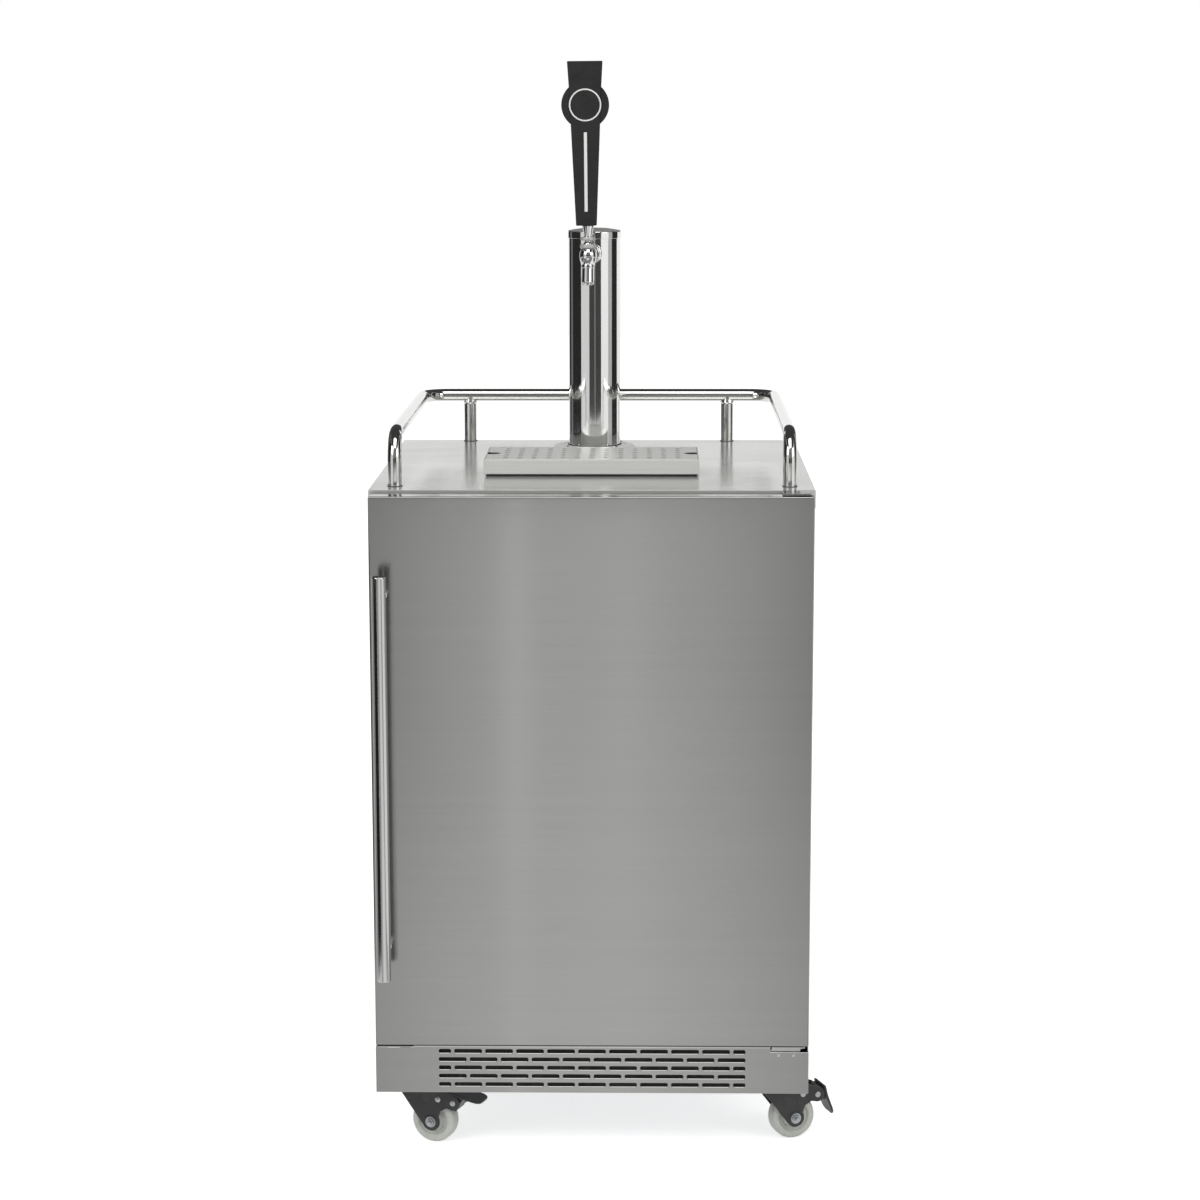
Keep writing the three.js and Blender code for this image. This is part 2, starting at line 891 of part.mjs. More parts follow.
// Door: folded skin, foam-filled inner panel, gasket and bar handle
function pinBores() {
  const axis = [pivot_x, behind(pivot_depth)];
  const deep = pin_reach + cut_over;
  return [
    rod([...axis, door_bottom - cut_over], [...axis, door_bottom + deep], pin_bore, small),
    rod([...axis, door_top - deep], [...axis, door_top + cut_over], pin_bore, small),
  ];
}

function doorSkin() {
  const outside = acrossBlock(half_door, [0, door_thickness], [door_bottom, door_top]);
  const inside = acrossBlock(
    half_door - sheet,
    [sheet, door_thickness + cut_over],
    [door_bottom + sheet, door_top - sheet],
  );
  return cut(outside, inside, ...pinBores());
}

// The raised middle of the door's inside, drawn in by a margin
function raisedPanel(margin, from, to) {
  return acrossBlock(
    door_inner_width / 2 - margin,
    [from, to],
    [door_bottom + door_inner_margin + margin, body_top - door_inner_margin - margin],
  );
}

const door_panel_front = door_thickness - liner_wall;
const door_inner_back = door_thickness + door_inner_depth;

function doorLiner() {
  const plate = acrossBlock(
    half_door - sheet,
    [door_panel_front, door_thickness],
    [door_bottom + sheet, door_top - sheet],
  );
  const raised = raisedPanel(0, door_panel_front, door_inner_back);
  const hollow = raisedPanel(liner_wall, door_panel_front - cut_over, door_inner_back - liner_wall);
  return cut(joined(plate, raised), hollow);
}

function doorFoam() {
  const filling = acrossBlock(
    half_door - sheet,
    [sheet, door_panel_front],
    [door_bottom + sheet, door_top - sheet],
  );
  const raised = raisedPanel(liner_wall, sheet, door_inner_back - liner_wall);
  return cut(joined(filling, raised), ...pinBores());
}

function doorGasket() {
  const low = kick_top + gasket_margin;
  const high = body_top - gasket_margin;
  const depths = [behind(door_thickness), behind(front_gap - seat_gap)];
  const half = gasket_outer_width / 2;
  const inner = half - gasket_width;
  return upright(
    rectangle([-half, half], [low, high]),
    depths,
    [rectangle([-inner, inner], [low + gasket_width, high - gasket_width])],
  );
}

const bar_x = -half_door + bar_inset;

function handleBar() {
  return turned([
    [0, bar_bottom],
    [bar_radius - bar_chamfer, bar_bottom],
    [bar_radius, bar_bottom + bar_chamfer],
    [bar_radius, bar_top - bar_chamfer],
    [bar_radius - bar_chamfer, bar_top],
    [0, bar_top],
  ], round, [bar_x, behind(-bar_standoff)]);
}

function handlePost(z) {
  const post = rod(
    [bar_x, behind(0), z],
    [bar_x, behind(-bar_standoff), z],
    post_diameter / 2,
    medium,
  );
  const bar = rod(
    [bar_x, behind(-bar_standoff), z - post_diameter],
    [bar_x, behind(-bar_standoff), z + post_diameter],
    bar_radius + seat_gap,
    round,
  );
  const beyond = block(
    [bar_x - bar_radius, bar_x + bar_radius],
    [behind(-bar_standoff) - bar_radius, behind(-bar_standoff)],
    [z - post_diameter, z + post_diameter],
  );
  return cut(post, bar, beyond);
}

kegerator.add(
  piece('door_skin', doorSkin(), 'brushed'),
  piece('door_foam', doorFoam(), 'foam'),
  piece('door_liner', doorLiner(), 'white_plastic'),
  piece('door_gasket', doorGasket(), 'rubber'),
  piece('door_handle_bar', handleBar(), 'brushed'),
  piece('door_handle_post_upper', handlePost(bar_top - post_inset), 'brushed'),
  piece('door_handle_post_lower', handlePost(bar_bottom + post_inset), 'brushed'),
);

// Tower: flange, column, cap and what they hold. Its group stands on the worktop,
// turned a little, with the tap on its local front side.
const tower = new THREE.Group();
tower.position.set(serving_offset, behind(tower_depth), 0);
tower.rotation.z = THREE.MathUtils.degToRad(tower_turn);

function towerFlange() {
  const low = tower_floor + seat_gap;
  const shoulder = flange_radius - flange_round;
  return turned([
    [line_hole_radius, low],
    [flange_radius, low],
    [flange_radius, low + flange_edge - seat_gap],
    ...arc([shoulder, tower_floor + flange_edge], flange_round, 30, 90, 2)
      .map(([radius, z]) => [radius, Math.min(z, flange_top - flange_round_drop)]),
    [column_radius + foot_ring_width, flange_top],
    [line_hole_radius, flange_top],
    [line_hole_radius, low],
  ], fine);
}

function columnFootRing() {
  const inner = column_radius + seat_gap;
  const outer = column_radius + foot_ring_width;
  return turned([
    [inner, flange_top + seat_gap],
    [outer, flange_top + seat_gap],
    [outer, flange_top + foot_ring_height],
    [inner, flange_top + foot_ring_height],
    [inner, flange_top + seat_gap],
  ], fine);
}

function frontBore(radius, from, to) {
  return rod([0, -from, shank_z], [0, -to, shank_z], radius, medium);
}

function towerColumn() {
  const inner = column_radius - column_wall;
  const top = column_top - sheet - seat_gap;
  const tube = turned([
    [inner, flange_top + seat_gap],
    [column_radius, flange_top + seat_gap],
    [column_radius, top],
    [inner, top],
    [inner, flange_top + seat_gap],
  ], fine);
  return cut(tube, frontBore(shank_radius + seat_gap, 0, column_radius + cut_over));
}

function towerCap() {
  const inner = column_radius + seat_gap;
  const outer = inner + cap_lip;
  const top = column_top;
  return turned([
    [0, top - sheet],
    [inner, top - sheet],
    [inner, top - cap_skirt],
    [outer, top - cap_skirt],
    [outer, top],
    [outer / 2, top + cap_dome],
    [0, top + cap_dome],
  ], fine);
}

function towerInsulation() {
  const outer = column_radius - column_wall - seat_gap;
  const low = flange_top + seat_gap;
  const high = column_top - cap_skirt;
  const sleeve = turned([
    [insulation_bore, low],
    [outer, low],
    [outer, high],
    [insulation_bore, high],
    [insulation_bore, low],
  ], round);
  return cut(sleeve, frontBore(shank_radius + running_gap, 0, column_radius));
}

function beerLine() {
  const top = shank_z - nipple_length - seat_gap;
  return rod([0, 0, liner_inner_top], [0, 0, top], line_radius, small);
}

tower.add(
  piece('tower_flange', towerFlange(), 'polished'),
  piece('column_foot_ring', columnFootRing(), 'rubber'),
  piece('tower_column', towerColumn(), 'polished'),
  piece('tower_cap', towerCap(), 'polished'),
  piece('tower_insulation', towerInsulation(), 'foam'),
  piece('beer_line', beerLine(), 'clear_hose'),
);

// Tap: shank through the column, its flange and nut, and the faucet on its end
function shank() {
  const outside = joined(
    frontBore(shank_radius, shank_tail_start, joint_reach - seat_gap),
    frontBore(shank_tail_radius, -shank_tail_end, shank_tail_start + cut_over),
    rod([0, 0, shank_z], [0, 0, shank_z - nipple_length], nipple_radius, small),
  );
  return cut(
    outside,
    frontBore(shank_bore, -shank_bore, joint_reach),
    rod([0, 0, shank_z], [0, 0, shank_z - nipple_length - cut_over], nipple_bore, tiny),
  );
}

function shankFlange() {
  const front = column_radius + shank_flange_thickness;
  return cut(
    frontBore(shank_flange_radius, column_radius - shank_flange_thickness, front),
    frontBore(shank_radius + seat_gap, 0, front + cut_over),
    rod([0, 0, shank_z - front], [0, 0, shank_z + front], column_radius + seat_gap, fine),
  );
}

function couplingNut() {
  const end = joint_reach + tail_flange_length + nut_lip;
  return cut(
    rod([0, -(end - nut_length), shank_z], [0, -end, shank_z], nut_radius, tiny),
    frontBore(shank_radius + seat_gap, joint_reach - nut_length, joint_reach + tail_flange_length + seat_gap),
    frontBore(tail_radius + seat_gap, joint_reach, end + cut_over),
  );
}

function spoutEnds(length_from, length_to) {
  const lean = THREE.MathUtils.degToRad(spout_tilt);
  const at = (length) => [0, -faucet_reach - length * Math.sin(lean), shank_z - length * Math.cos(lean)];
  return [at(length_from), at(length_to)];
}

function faucetBody() {
  const nose = faucet_reach + barrel_nose;
  const axis = [0, -faucet_reach];
  const [spout_start, spout_stop] = spoutEnds(spout_top, spout_length);
  const [bore_start, bore_stop] = spoutEnds(0, spout_length + cut_over);
  const outside = joined(
    frontBore(tail_flange_radius, joint_reach, joint_reach + tail_flange_length),
    frontBore(tail_radius, joint_reach, faucet_reach),
    frontBore(barrel_radius, joint_reach + inlet_length + nut_lip, nose),
    rod([0, cut_over - nose, shank_z - nose_drop], [0, -nose - nose_proud, shank_z - nose_drop], nose_radius),
    rod([...axis, shank_z - chest_bottom], [...axis, shank_z], neck_radius, medium, chest_radius),
    rod([...axis, shank_z], [...axis, lever_pivot - bonnet_bottom - seat_gap],
      chest_radius, medium, neck_radius),
    rod(spout_start, spout_stop, spout_top_radius, medium, spout_end_radius),
  );
  return cut(
    outside,
    frontBore(inlet_bore, joint_reach - cut_over, faucet_reach - valve_seat + seat_gap),
    frontBore(chamber_bore, joint_reach, faucet_reach + plunger_front + cut_over),
    rod([...axis, shank_z], [...axis, shank_z + pivot_rise], socket_radius, medium),
    rod(bore_start, bore_stop, spout_bore, small),
  );
}

function faucetBonnet() {
  const axis = [0, -faucet_reach];
  const low = lever_pivot - bonnet_bottom;
  const high = lever_pivot + bonnet_top;
  return cut(
    rod([...axis, low], [...axis, high], bonnet_radius, round),
    rod([...axis, low - cut_over], [...axis, high + cut_over], socket_radius, medium),
  );
}

function faucetPlunger() {
  const front = faucet_reach + plunger_front;
  const seat = faucet_reach - valve_seat;
  const stem = frontBore(plunger_radius, seat - valve_thickness, front);
  const valve = frontBore(valve_radius, seat - valve_thickness, seat);
  const slot = block(
    [-plunger_slot_width / 2, plunger_slot_width / 2],
    [-faucet_reach - plunger_slot_half, -faucet_reach + plunger_slot_half],
    [shank_z - plunger_radius - cut_over, shank_z + plunger_radius + cut_over],
  );
  return cut(joined(stem, valve), slot);
}

function faucetLever() {
  const profile = [
    [0, -tang_length],
    [tang_radius, -tang_length],
    [tang_radius, -ball_radius * Math.cos(Math.PI / 6)],
    ...arc([0, 0], ball_radius, -60, 50, 4),
    [lever_neck_radius, collar_bottom],
    [collar_radius, collar_edge],
    [collar_radius, collar_top],
    [ferrule_bottom_radius, collar_top],
    [ferrule_top_radius, collar_top + ferrule_height],
    [0, collar_top + ferrule_height],
  ];
  const raised = profile.map(([radius, z]) => [radius, z + lever_pivot]);
  return turned(raised, medium, [0, -faucet_reach]);
}

// The handle is screwed on facing straight ahead, with a slight lean, above its own origin.
function tapHandle() {
  const half = handle_thickness / 2;
  const outline = [
    [-handle_bottom_width / 2, 0],
    [handle_bottom_width / 2, 0],
    [handle_waist_width / 2, handle_waist_height],
    [handle_top_width / 2, handle_height],
    [-handle_top_width / 2, handle_height],
    [-handle_waist_width / 2, handle_waist_height],
  ];
  const disc = [-half + handle_edge, half - handle_edge].map((y) => [0, y, handle_disc_height]);
  return joined(upright(outline, [-half, half]), rod(...disc, handle_disc_radius, fine));
}

const handle_group = new THREE.Group();
handle_group.position.set(-handle_aside, -faucet_reach, ferrule_top + seat_gap);
handle_group.rotation.z = -tower.rotation.z;
handle_group.rotation.y = -THREE.MathUtils.degToRad(handle_lean);
handle_group.add(piece('tap_handle', tapHandle(), 'handle_black'));

tower.add(
  piece('shank', shank(), 'chrome'),
  piece('shank_flange', shankFlange(), 'chrome'),
  piece('coupling_nut', couplingNut(), 'chrome'),
  piece('faucet_body', faucetBody(), 'chrome'),
  piece('faucet_bonnet', faucetBonnet(), 'chrome'),
  piece('faucet_plunger', faucetPlunger(), 'chrome'),
  piece('faucet_lever', faucetLever(), 'chrome'),
  handle_group,
);
kegerator.add(tower);

// Drip tray on its rubber mat, with a lift-out grill
const tray_x = [serving_offset - tray_width / 2, serving_offset + tray_width / 2];
const tray_y = [behind(tray_front), behind(tray_front + tray_depth)];

function inset([low, high], by) {
  return [low + by, high - by];
}

function trayMat() {
  return block(inset(tray_x, mat_inset), inset(tray_y, mat_inset), [worktop_top, tray_bottom]);
}

function dripTray() {
  return cut(
    block(tray_x, tray_y, [tray_bottom, tray_top]),
    block(inset(tray_x, tray_wall), inset(tray_y, tray_wall), [tray_bottom + tray_wall, tray_top + cut_over]),
  );
}

function grillNotch(side) {
  const end = serving_offset + side * (tray_width / 2 - grill_gap);
  const tip = end - side * grill_notch_depth;
  const radius = grill_notch_width / 2;
  const mid = behind(tray_centre_y);
  const ends = [end + side * cut_over, tip + side * radius];
  return block(
    [Math.min(...ends), Math.max(...ends)],
    [mid - radius, mid + radius],
    [tray_top - tray_wall - cut_over, tray_top + cut_over],
  ).add(rod(
    [tip + side * radius, mid, tray_top - tray_wall - cut_over],
    [tip + side * radius, mid, tray_top + cut_over],
    radius,
    small,
  ));
}

function trayGrill() {
  const room_x = tray_width - 2 * (grill_gap + grill_notch_depth + grill_side_margin);
  const room_y = tray_depth - 2 * (grill_gap + grill_front_margin);
  const grill_columns = copiesIn(room_x, grill_hole, grill_pitch_x);
  const grill_rows = copiesIn(room_y, grill_hole, grill_pitch_y);
  const holes = [];
  for (let column = 0; column < grill_columns; column += 1) {
    for (let row = 0; row < grill_rows; row += 1) {
      const x = serving_offset + (column - (grill_columns - 1) / 2) * grill_pitch_x;
      const y = behind(tray_centre_y) + (row - (grill_rows - 1) / 2) * grill_pitch_y;
      holes.push(circle([x, y], grill_hole / 2, hexagonal));
    }
  }
  const plan_x = inset(tray_x, grill_gap);
  const plan_y = inset(tray_y, grill_gap);
  const top = flatPlate(rectangle(plan_x, plan_y), [tray_top - tray_wall, tray_top], holes);
  const legs = [plan_y[0], plan_y[1] - tray_wall].map((y) => block(
    inset(plan_x, grill_leg_inset),
    [y, y + tray_wall],
    [tray_bottom + tray_wall, tray_top],
  ));
  return cut(joined(top, ...legs), grillNotch(-1), grillNotch(1));
}

kegerator.add(
  piece('drip_tray_mat', trayMat(), 'rubber'),
  piece('drip_tray', dripTray(), 'brushed'),
  piece('drip_tray_grill', trayGrill(), 'brushed'),
);

// Casters. Local X is the trailing direction, Y the axle and Z up, from the swivel axis on the floor.
function casterPlate() {
  const half = caster_plate / 2;
  const low = caster_height - caster_plate_thickness;
  const race_top = crown_height + race_height;
  return joined(
    block([-half, half], [-half, half], [low, caster_height]),
    rod([0, 0, race_top + running_gap], [0, 0, low + cut_over], upper_race_radius, medium),
    rod([0, 0, crown_height], [0, 0, low], kingpin_radius, small),
  );
}

const pin_x = caster_trail + lever_run;
const pin_z = wheel_radius + lever_rise;

function cheek(side) {
  const outline = [
    [-crown_left, crown_height],
    ...arc([caster_trail, wheel_radius], axle_lobe, 208, 395, 7),
    ...cheek_underside_shares.map(([run, rise]) => (
      [caster_trail + run * lever_run, wheel_radius + rise * lever_rise]
    )),
    ...arc([pin_x, pin_z], lever_lobe, -115, 75, 6),
    [crown_right, crown_height],
  ];
  const inside = side * cheek_inside;
  const outside = side * (cheek_inside + cheek_thickness);
  return upright(outline, [Math.min(inside, outside), Math.max(inside, outside)]);
}

function axleNut(side) {
  const from = side * (cheek_inside + cheek_thickness / 2);
  const nut = side * (cheek_inside + cheek_thickness + axle_nut_height);
  return joined(
    rod([caster_trail, from, wheel_radius], [caster_trail, nut, wheel_radius], axle_nut_radius, hexagonal),
    rod([caster_trail, from, wheel_radius], [caster_trail, nut + side * axle_end, wheel_radius],
      axle_radius, tiny),
  );
}

function casterFork() {
  const outer = cheek_inside + cheek_thickness;
  const crown = block(
    [-crown_left, crown_right],
    [-outer, outer],
    [crown_height - crown_thickness, crown_height],
  );
  const race = rod(
    [0, 0, crown_height - crown_thickness],
    [0, 0, crown_height + race_height],
    race_radius,
    medium,
  );
  const axle = rod(
    [caster_trail, -cheek_inside - cheek_thickness, wheel_radius],
    [caster_trail, cheek_inside + cheek_thickness, wheel_radius],
    axle_radius,
    small,
  );
  const lever_pin = rod(
    [pin_x, -outer - lever_pin_head, pin_z],
    [pin_x, outer + lever_pin_head, pin_z],
    lever_pin_radius,
    tiny,
  );
  const pin_hole = rod(
    [0, 0, crown_height - crown_thickness - cut_over],
    [0, 0, crown_height + race_height + cut_over],
    kingpin_radius + seat_gap,
    small,
  );
  const whole = joined(cheek(-1), cheek(1), crown, race, axle, lever_pin, axleNut(-1), axleNut(1));
  return cut(whole, pin_hole);
}

// The wheel is turned about its own axle, and one facet lies flat on the floor.
function casterWheel() {
  const bore = axle_radius + seat_gap;
  const hub_half = cheek_inside - running_gap;
  const half_profile = [
    [bore, hub_half],
    [hub_radius, hub_half],
    [hub_radius + wheel_shoulder, wheel_web_half],
    [wheel_web_outer, wheel_web_half],
    [wheel_rim_inner, wheel_half_width],
    [wheel_radius - wheel_shoulder, wheel_half_width],
    [wheel_radius, wheel_tread / 2],
  ];
  const other_half = half_profile.map(([radius, y]) => [radius, -y]).reverse();
  const stretch = 1 / Math.cos(Math.PI / round);
  const profile = [...half_profile, ...other_half, half_profile[0]]
    .map(([radius, y]) => [radius * stretch, y]);
  const wheel = new THREE.LatheGeometry(
    profile.map(([radius, y]) => new THREE.Vector2(radius, y)),
    round,
  );
  wheel.rotateY(Math.PI / round);
  wheel.translate(caster_trail, 0, wheel_radius);
  return solidOf(wheel);
}

// Turns an outline of shares about the lever's pin into places on the caster.
function leverOutline(shares, lift) {
  return shares.map(([run, rise]) => [
    pin_x + pedal_length * (run * Math.cos(lift) - rise * Math.sin(lift)),
    pin_z + pedal_length * (run * Math.sin(lift) + rise * Math.cos(lift)),
  ]);
}

function brakeLever(lift_degrees) {
  const lift = THREE.MathUtils.degToRad(lift_degrees);
  const half = cheek_inside - running_gap;
  const cam = upright(leverOutline(cam_shares, lift), [-half, half]);
  const pedal = upright(leverOutline(pedal_shares, lift), [-pedal_half_width, pedal_half_width]);
  const eye = rod([pin_x, -cheek_inside, pin_z], [pin_x, cheek_inside, pin_z],
    lever_pin_radius + seat_gap, tiny);
  return cut(joined(cam, pedal.intersect(roundedToe(lift))), eye);
}

// A tall block round the pedal whose outer corners are cut off, which rounds the pedal's toe.
function roundedToe(lift) {
  const [run, rise] = pedal_shares[3];
  const toe = pin_x + pedal_length * (run * Math.cos(lift) - rise * Math.sin(lift)) + seat_gap;
  const outline = [
    [pin_x - pedal_length, -pedal_half_width],
    [toe - pedal_corner, -pedal_half_width],
    [toe, -pedal_corner],
    [toe, pedal_corner],
    [toe - pedal_corner, pedal_half_width],
    [pin_x - pedal_length, pedal_half_width],
  ];
  return flatPlate(outline, [pin_z - pedal_length, pin_z + pedal_length]);
}

// Heading is the way that each wheel trails, in degrees from X. One front brake is on.
const casters = [
  { place: 'front_left', side: -1, rear: false, heading: -20, locked: false },
  { place: 'front_right', side: 1, rear: false, heading: 20, locked: true },
  { place: 'rear_left', side: -1, rear: true, heading: 160, locked: false },
  { place: 'rear_right', side: 1, rear: true, heading: 170, locked: false },
];

for (const caster of casters) {
  const x = caster.side * caster_x;
  const y = behind(caster.rear ? body_depth - caster_inset : caster_inset);
  const fixed = piece(`caster_plate_${caster.place}`, casterPlate(), 'galvanised');
  fixed.position.set(x, y, 0);
  const swivel = new THREE.Group();
  swivel.position.set(x, y, 0);
  swivel.rotation.z = THREE.MathUtils.degToRad(caster.heading);
  swivel.add(
    piece(`caster_fork_${caster.place}`, casterFork(), 'black_steel'),
    piece(`caster_wheel_${caster.place}`, casterWheel(), 'wheel_grey'),
    piece(`caster_brake_${caster.place}`, brakeLever(caster.locked ? 0 : lever_travel), 'black_steel'),
  );
  kegerator.add(fixed, swivel);
}

// Cooling: compressor, condenser and fan in the machine space, evaporator and fan inside
function compressor() {
  const plate = pan_floor + compressor_foot_height;
  const top = plate + compressor_height;
  const dome = compressor_radius / 3;
  const shell = turned([
    [0, plate],
    [compressor_radius - dome, plate],
    [compressor_radius, plate + dome],
    [compressor_radius, top - dome],
    [compressor_radius - dome, top],
    [0, top],
  ], round, [compressor_x, behind(machine_mid)]);
  const half_x = compressor_foot_width / 2;
  const half_y = compressor_foot_depth / 2;
  const foot = block(
    [compressor_x - half_x, compressor_x + half_x],
    [behind(machine_mid) - half_y, behind(machine_mid) + half_y],
    [plate - compressor_foot_sheet, plate + seat_gap],
  );
  const grommets = [[-1, -1], [1, -1], [-1, 1], [1, 1]].map(([a, b]) => {
    const x = compressor_x + a * (half_x - grommet_inset);
    const y = behind(machine_mid) + b * (half_y - grommet_inset);
    const at = [x, y];
    return rod([...at, pan_floor], [...at, plate], grommet_radius, tiny);
  });
  return joined(shell, foot, ...grommets);
}

const condenser_x_range = [condenser_x - condenser_width / 2, condenser_x + condenser_width / 2];
const condenser_y_range = [
  behind(machine_mid) - condenser_depth / 2,
  behind(machine_mid) + condenser_depth / 2,
];

function condenser() {
  const fins = Array.from({ length: fin_count }, (_, i) => {
    const z = condenser_bottom + i * fin_pitch;
    return block(condenser_x_range, condenser_y_range, [z - fin_thickness / 2, z + fin_thickness / 2]);
  });
  const tubes = [-1, 0, 1].map((step) => {
    const y = behind(machine_mid) + step * condenser_depth / 3;
    return rod(
      [condenser_x, y, condenser_bottom],
      [condenser_x, y, condenser_bottom + condenser_height],
      fin_tube_radius,
      tiny,
    );
  });
  const feet = block(
    [condenser_x_range[0], condenser_x_range[0] + thick_sheet],
    condenser_y_range,
    [pan_floor, condenser_bottom + condenser_height],
  );
  return joined(...fins, ...tubes, feet);
}

const fan_z = condenser_bottom + condenser_height / 2;
const shroud_x = condenser_x_range[1] + seat_gap;
const motor_start = shroud_thickness + fan_depth + motor_gap;

// A ring round the fan with three arms that hold the motor, about the Z axis from z = 0
function fanFrame() {
  const opening = fan_radius + fan_gap;
  const motor_end = motor_start + motor_length;
  const half_width = condenser_height / 2;
  const half_height = condenser_depth / 2;
  const plate = flatPlate(
    rectangle([-half_width, half_width], [-half_height, half_height]),
    [0, shroud_thickness],
    [circle([0, 0], opening, round)],
  );
  const motor = rod([0, 0, motor_start], [0, 0, motor_end], motor_radius, medium);
  const reach = opening + arm_width / 2;
  const across = [-arm_width / 2, arm_width / 2];
  const arms = [90, 210, 330].map((degrees) => {
    const turn = THREE.MathUtils.degToRad(degrees);
    const arm = boxBetween([0, reach], across, [motor_end - arm_thickness, motor_end]);
    const leg = boxBetween([reach - arm_thickness, reach], across, [0, motor_end]);
    return joined(solidOf(arm.rotateZ(turn)), solidOf(leg.rotateZ(turn)));
  });
  return joined(plate, motor, ...arms);
}

// A hub with pitched blades about the Z axis from z = 0, and a short shaft towards the motor
function fanRotor(radius, shaft_length) {
  const pitch = THREE.MathUtils.degToRad(blade_pitch);
  const hub = rod([0, 0, 0], [0, 0, fan_depth], hub_fan_radius, medium);
  const blades = Array.from({ length: blade_count }, (_, i) => {
    const blade = boxBetween(
      [hub_fan_radius / 2, radius],
      [-blade_chord / 2, blade_chord / 2],
      [-blade_thickness / 2, blade_thickness / 2],
    );
    blade.rotateX(pitch);
    blade.translate(0, 0, fan_depth / 2);
    blade.rotateZ(2 * Math.PI * i / blade_count);
    return solidOf(blade);
  });
  const trim = rod([0, 0, 0], [0, 0, fan_depth], radius, round);
  const shaft = rod([0, 0, fan_depth - cut_over], [0, 0, fan_depth + shaft_length], shaft_radius, tiny);
  return joined(hub, ...blades.map((blade) => blade.intersect(trim)), shaft);
}

// The shroud, its motor and its fan stand with their Z axis along X.
const condenser_fan_group = new THREE.Group();
condenser_fan_group.position.set(shroud_x, behind(machine_mid), fan_z);
condenser_fan_group.rotation.y = Math.PI / 2;
const condenser_fan = piece('condenser_fan', fanRotor(fan_radius, motor_gap - seat_gap), 'black_plastic');
condenser_fan.position.z = shroud_thickness;
condenser_fan_group.add(piece('condenser_shroud', fanFrame(), 'galvanised'), condenser_fan);

kegerator.add(
  piece('compressor', compressor(), 'black_steel'),
  piece('condenser', condenser(), 'aluminium'),
  condenser_fan_group,
);

// Back cover of the machine space, with rows of air slots
function backCover() {
  const half = half_base - thick_sheet - seat_gap;
  const low = pan_floor + seat_gap;
  const high = machine_top - seat_gap;
  const mid = (low + high) / 2;
  const louvre_columns = copiesIn(2 * half - 2 * louvre_side_margin, louvre_length, louvre_pitch_x);
  const louvre_rows = copiesIn(high - low - 2 * louvre_row_margin, louvre_height, louvre_pitch_z);
  const slots = [];
  for (let row = 0; row < louvre_rows; row += 1) {
    for (let column = 0; column < louvre_columns; column += 1) {
      const x = (column - (louvre_columns - 1) / 2) * louvre_pitch_x;
      const z = mid + (row - (louvre_rows - 1) / 2) * louvre_pitch_z;
      slots.push(block(
        [x - louvre_length / 2, x + louvre_length / 2],
        [behind(body_depth - cover_sheet - cut_over), behind(body_depth + cut_over)],
        [z - louvre_height / 2, z + louvre_height / 2],
      ));
    }
  }
  return cut(acrossBlock(half, [body_depth - cover_sheet, body_depth], [low, high]), ...slots);
}

// Evaporator coil on the liner's back wall, its cover and the fan in the cover's opening
const evaporator_back = liner_inner_back - seat_gap;
const evaporator_front = evaporator_back - evaporator_depth;
const evaporator_mid_z = evaporator_top - evaporator_height / 2;
const bridge_front = evaporator_front + fan_depth + evaporator_wall;

function evaporatorCoil() {
  const half = evaporator_width / 2 - coil_margin;
  const low = evaporator_top - evaporator_height + coil_margin;
  const high = evaporator_top - coil_margin;
  const back = liner_inner_back;
  const fins = Array.from({ length: fin_count }, (_, i) => {
    const x = -half + i * (2 * half - fin_thickness) / (fin_count - 1);
    return block([x, x + fin_thickness], [behind(back - coil_depth / 2), behind(back)], [low, high]);
  });
  const tubes = [low + coil_margin, (low + high) / 2, high - coil_margin].map((z) => rod(
    [-half, behind(back - coil_depth / 4), z],
    [half, behind(back - coil_depth / 4), z],
    fin_tube_radius,
    tiny,
  ));
  return joined(...fins, ...tubes);
}

function evaporatorCover() {
  const half = evaporator_width / 2;
  const low = evaporator_top - evaporator_height;
  const wall = evaporator_wall;
  const outside = acrossBlock(half, [evaporator_front, evaporator_back], [low, evaporator_top]);
  const inside = acrossBlock(
    half - wall,
    [evaporator_front + wall, evaporator_back + cut_over],
    [low + wall, evaporator_top - wall],
  );
  const opening = rod(
    [0, behind(evaporator_front - cut_over), evaporator_mid_z],
    [0, behind(evaporator_front + 2 * wall), evaporator_mid_z],
    circulation_fan_radius + fan_gap,
    round,
  );
  const bridge_back = bridge_front + arm_thickness;
  const bridge = acrossBlock(half, [bridge_front, bridge_back], [
    evaporator_mid_z - motor_radius / 2,
    evaporator_mid_z + motor_radius / 2,
  ]);
  const motor = rod(
    [0, behind(bridge_front), evaporator_mid_z],
    [0, behind(bridge_back + small_motor_length), evaporator_mid_z],
    motor_radius,
    medium,
  );
  return joined(cut(outside, inside, opening), bridge, motor);
}

// The circulation fan's Z axis points back, towards its motor on the bridge.
const circulation_start = evaporator_front + seat_gap;
const circulation_shaft = bridge_front - seat_gap - circulation_start - fan_depth;
const circulation_fan = piece(
  'circulation_fan',
  fanRotor(circulation_fan_radius, circulation_shaft),
  'black_plastic',
);
circulation_fan.position.set(0, behind(circulation_start), evaporator_mid_z);
circulation_fan.rotation.x = -Math.PI / 2;

// Thermostat box with its knob, on the liner's back wall, and the light on its ceiling
const thermostat_front = liner_inner_back - thermostat_depth;
const thermostat_mid_z = thermostat_top - thermostat_height / 2;

function thermostatHousing() {
  return block(
    [thermostat_x - thermostat_width / 2, thermostat_x + thermostat_width / 2],
    [behind(thermostat_front), behind(liner_inner_back)],
    [thermostat_top - thermostat_height, thermostat_top],
  );
}

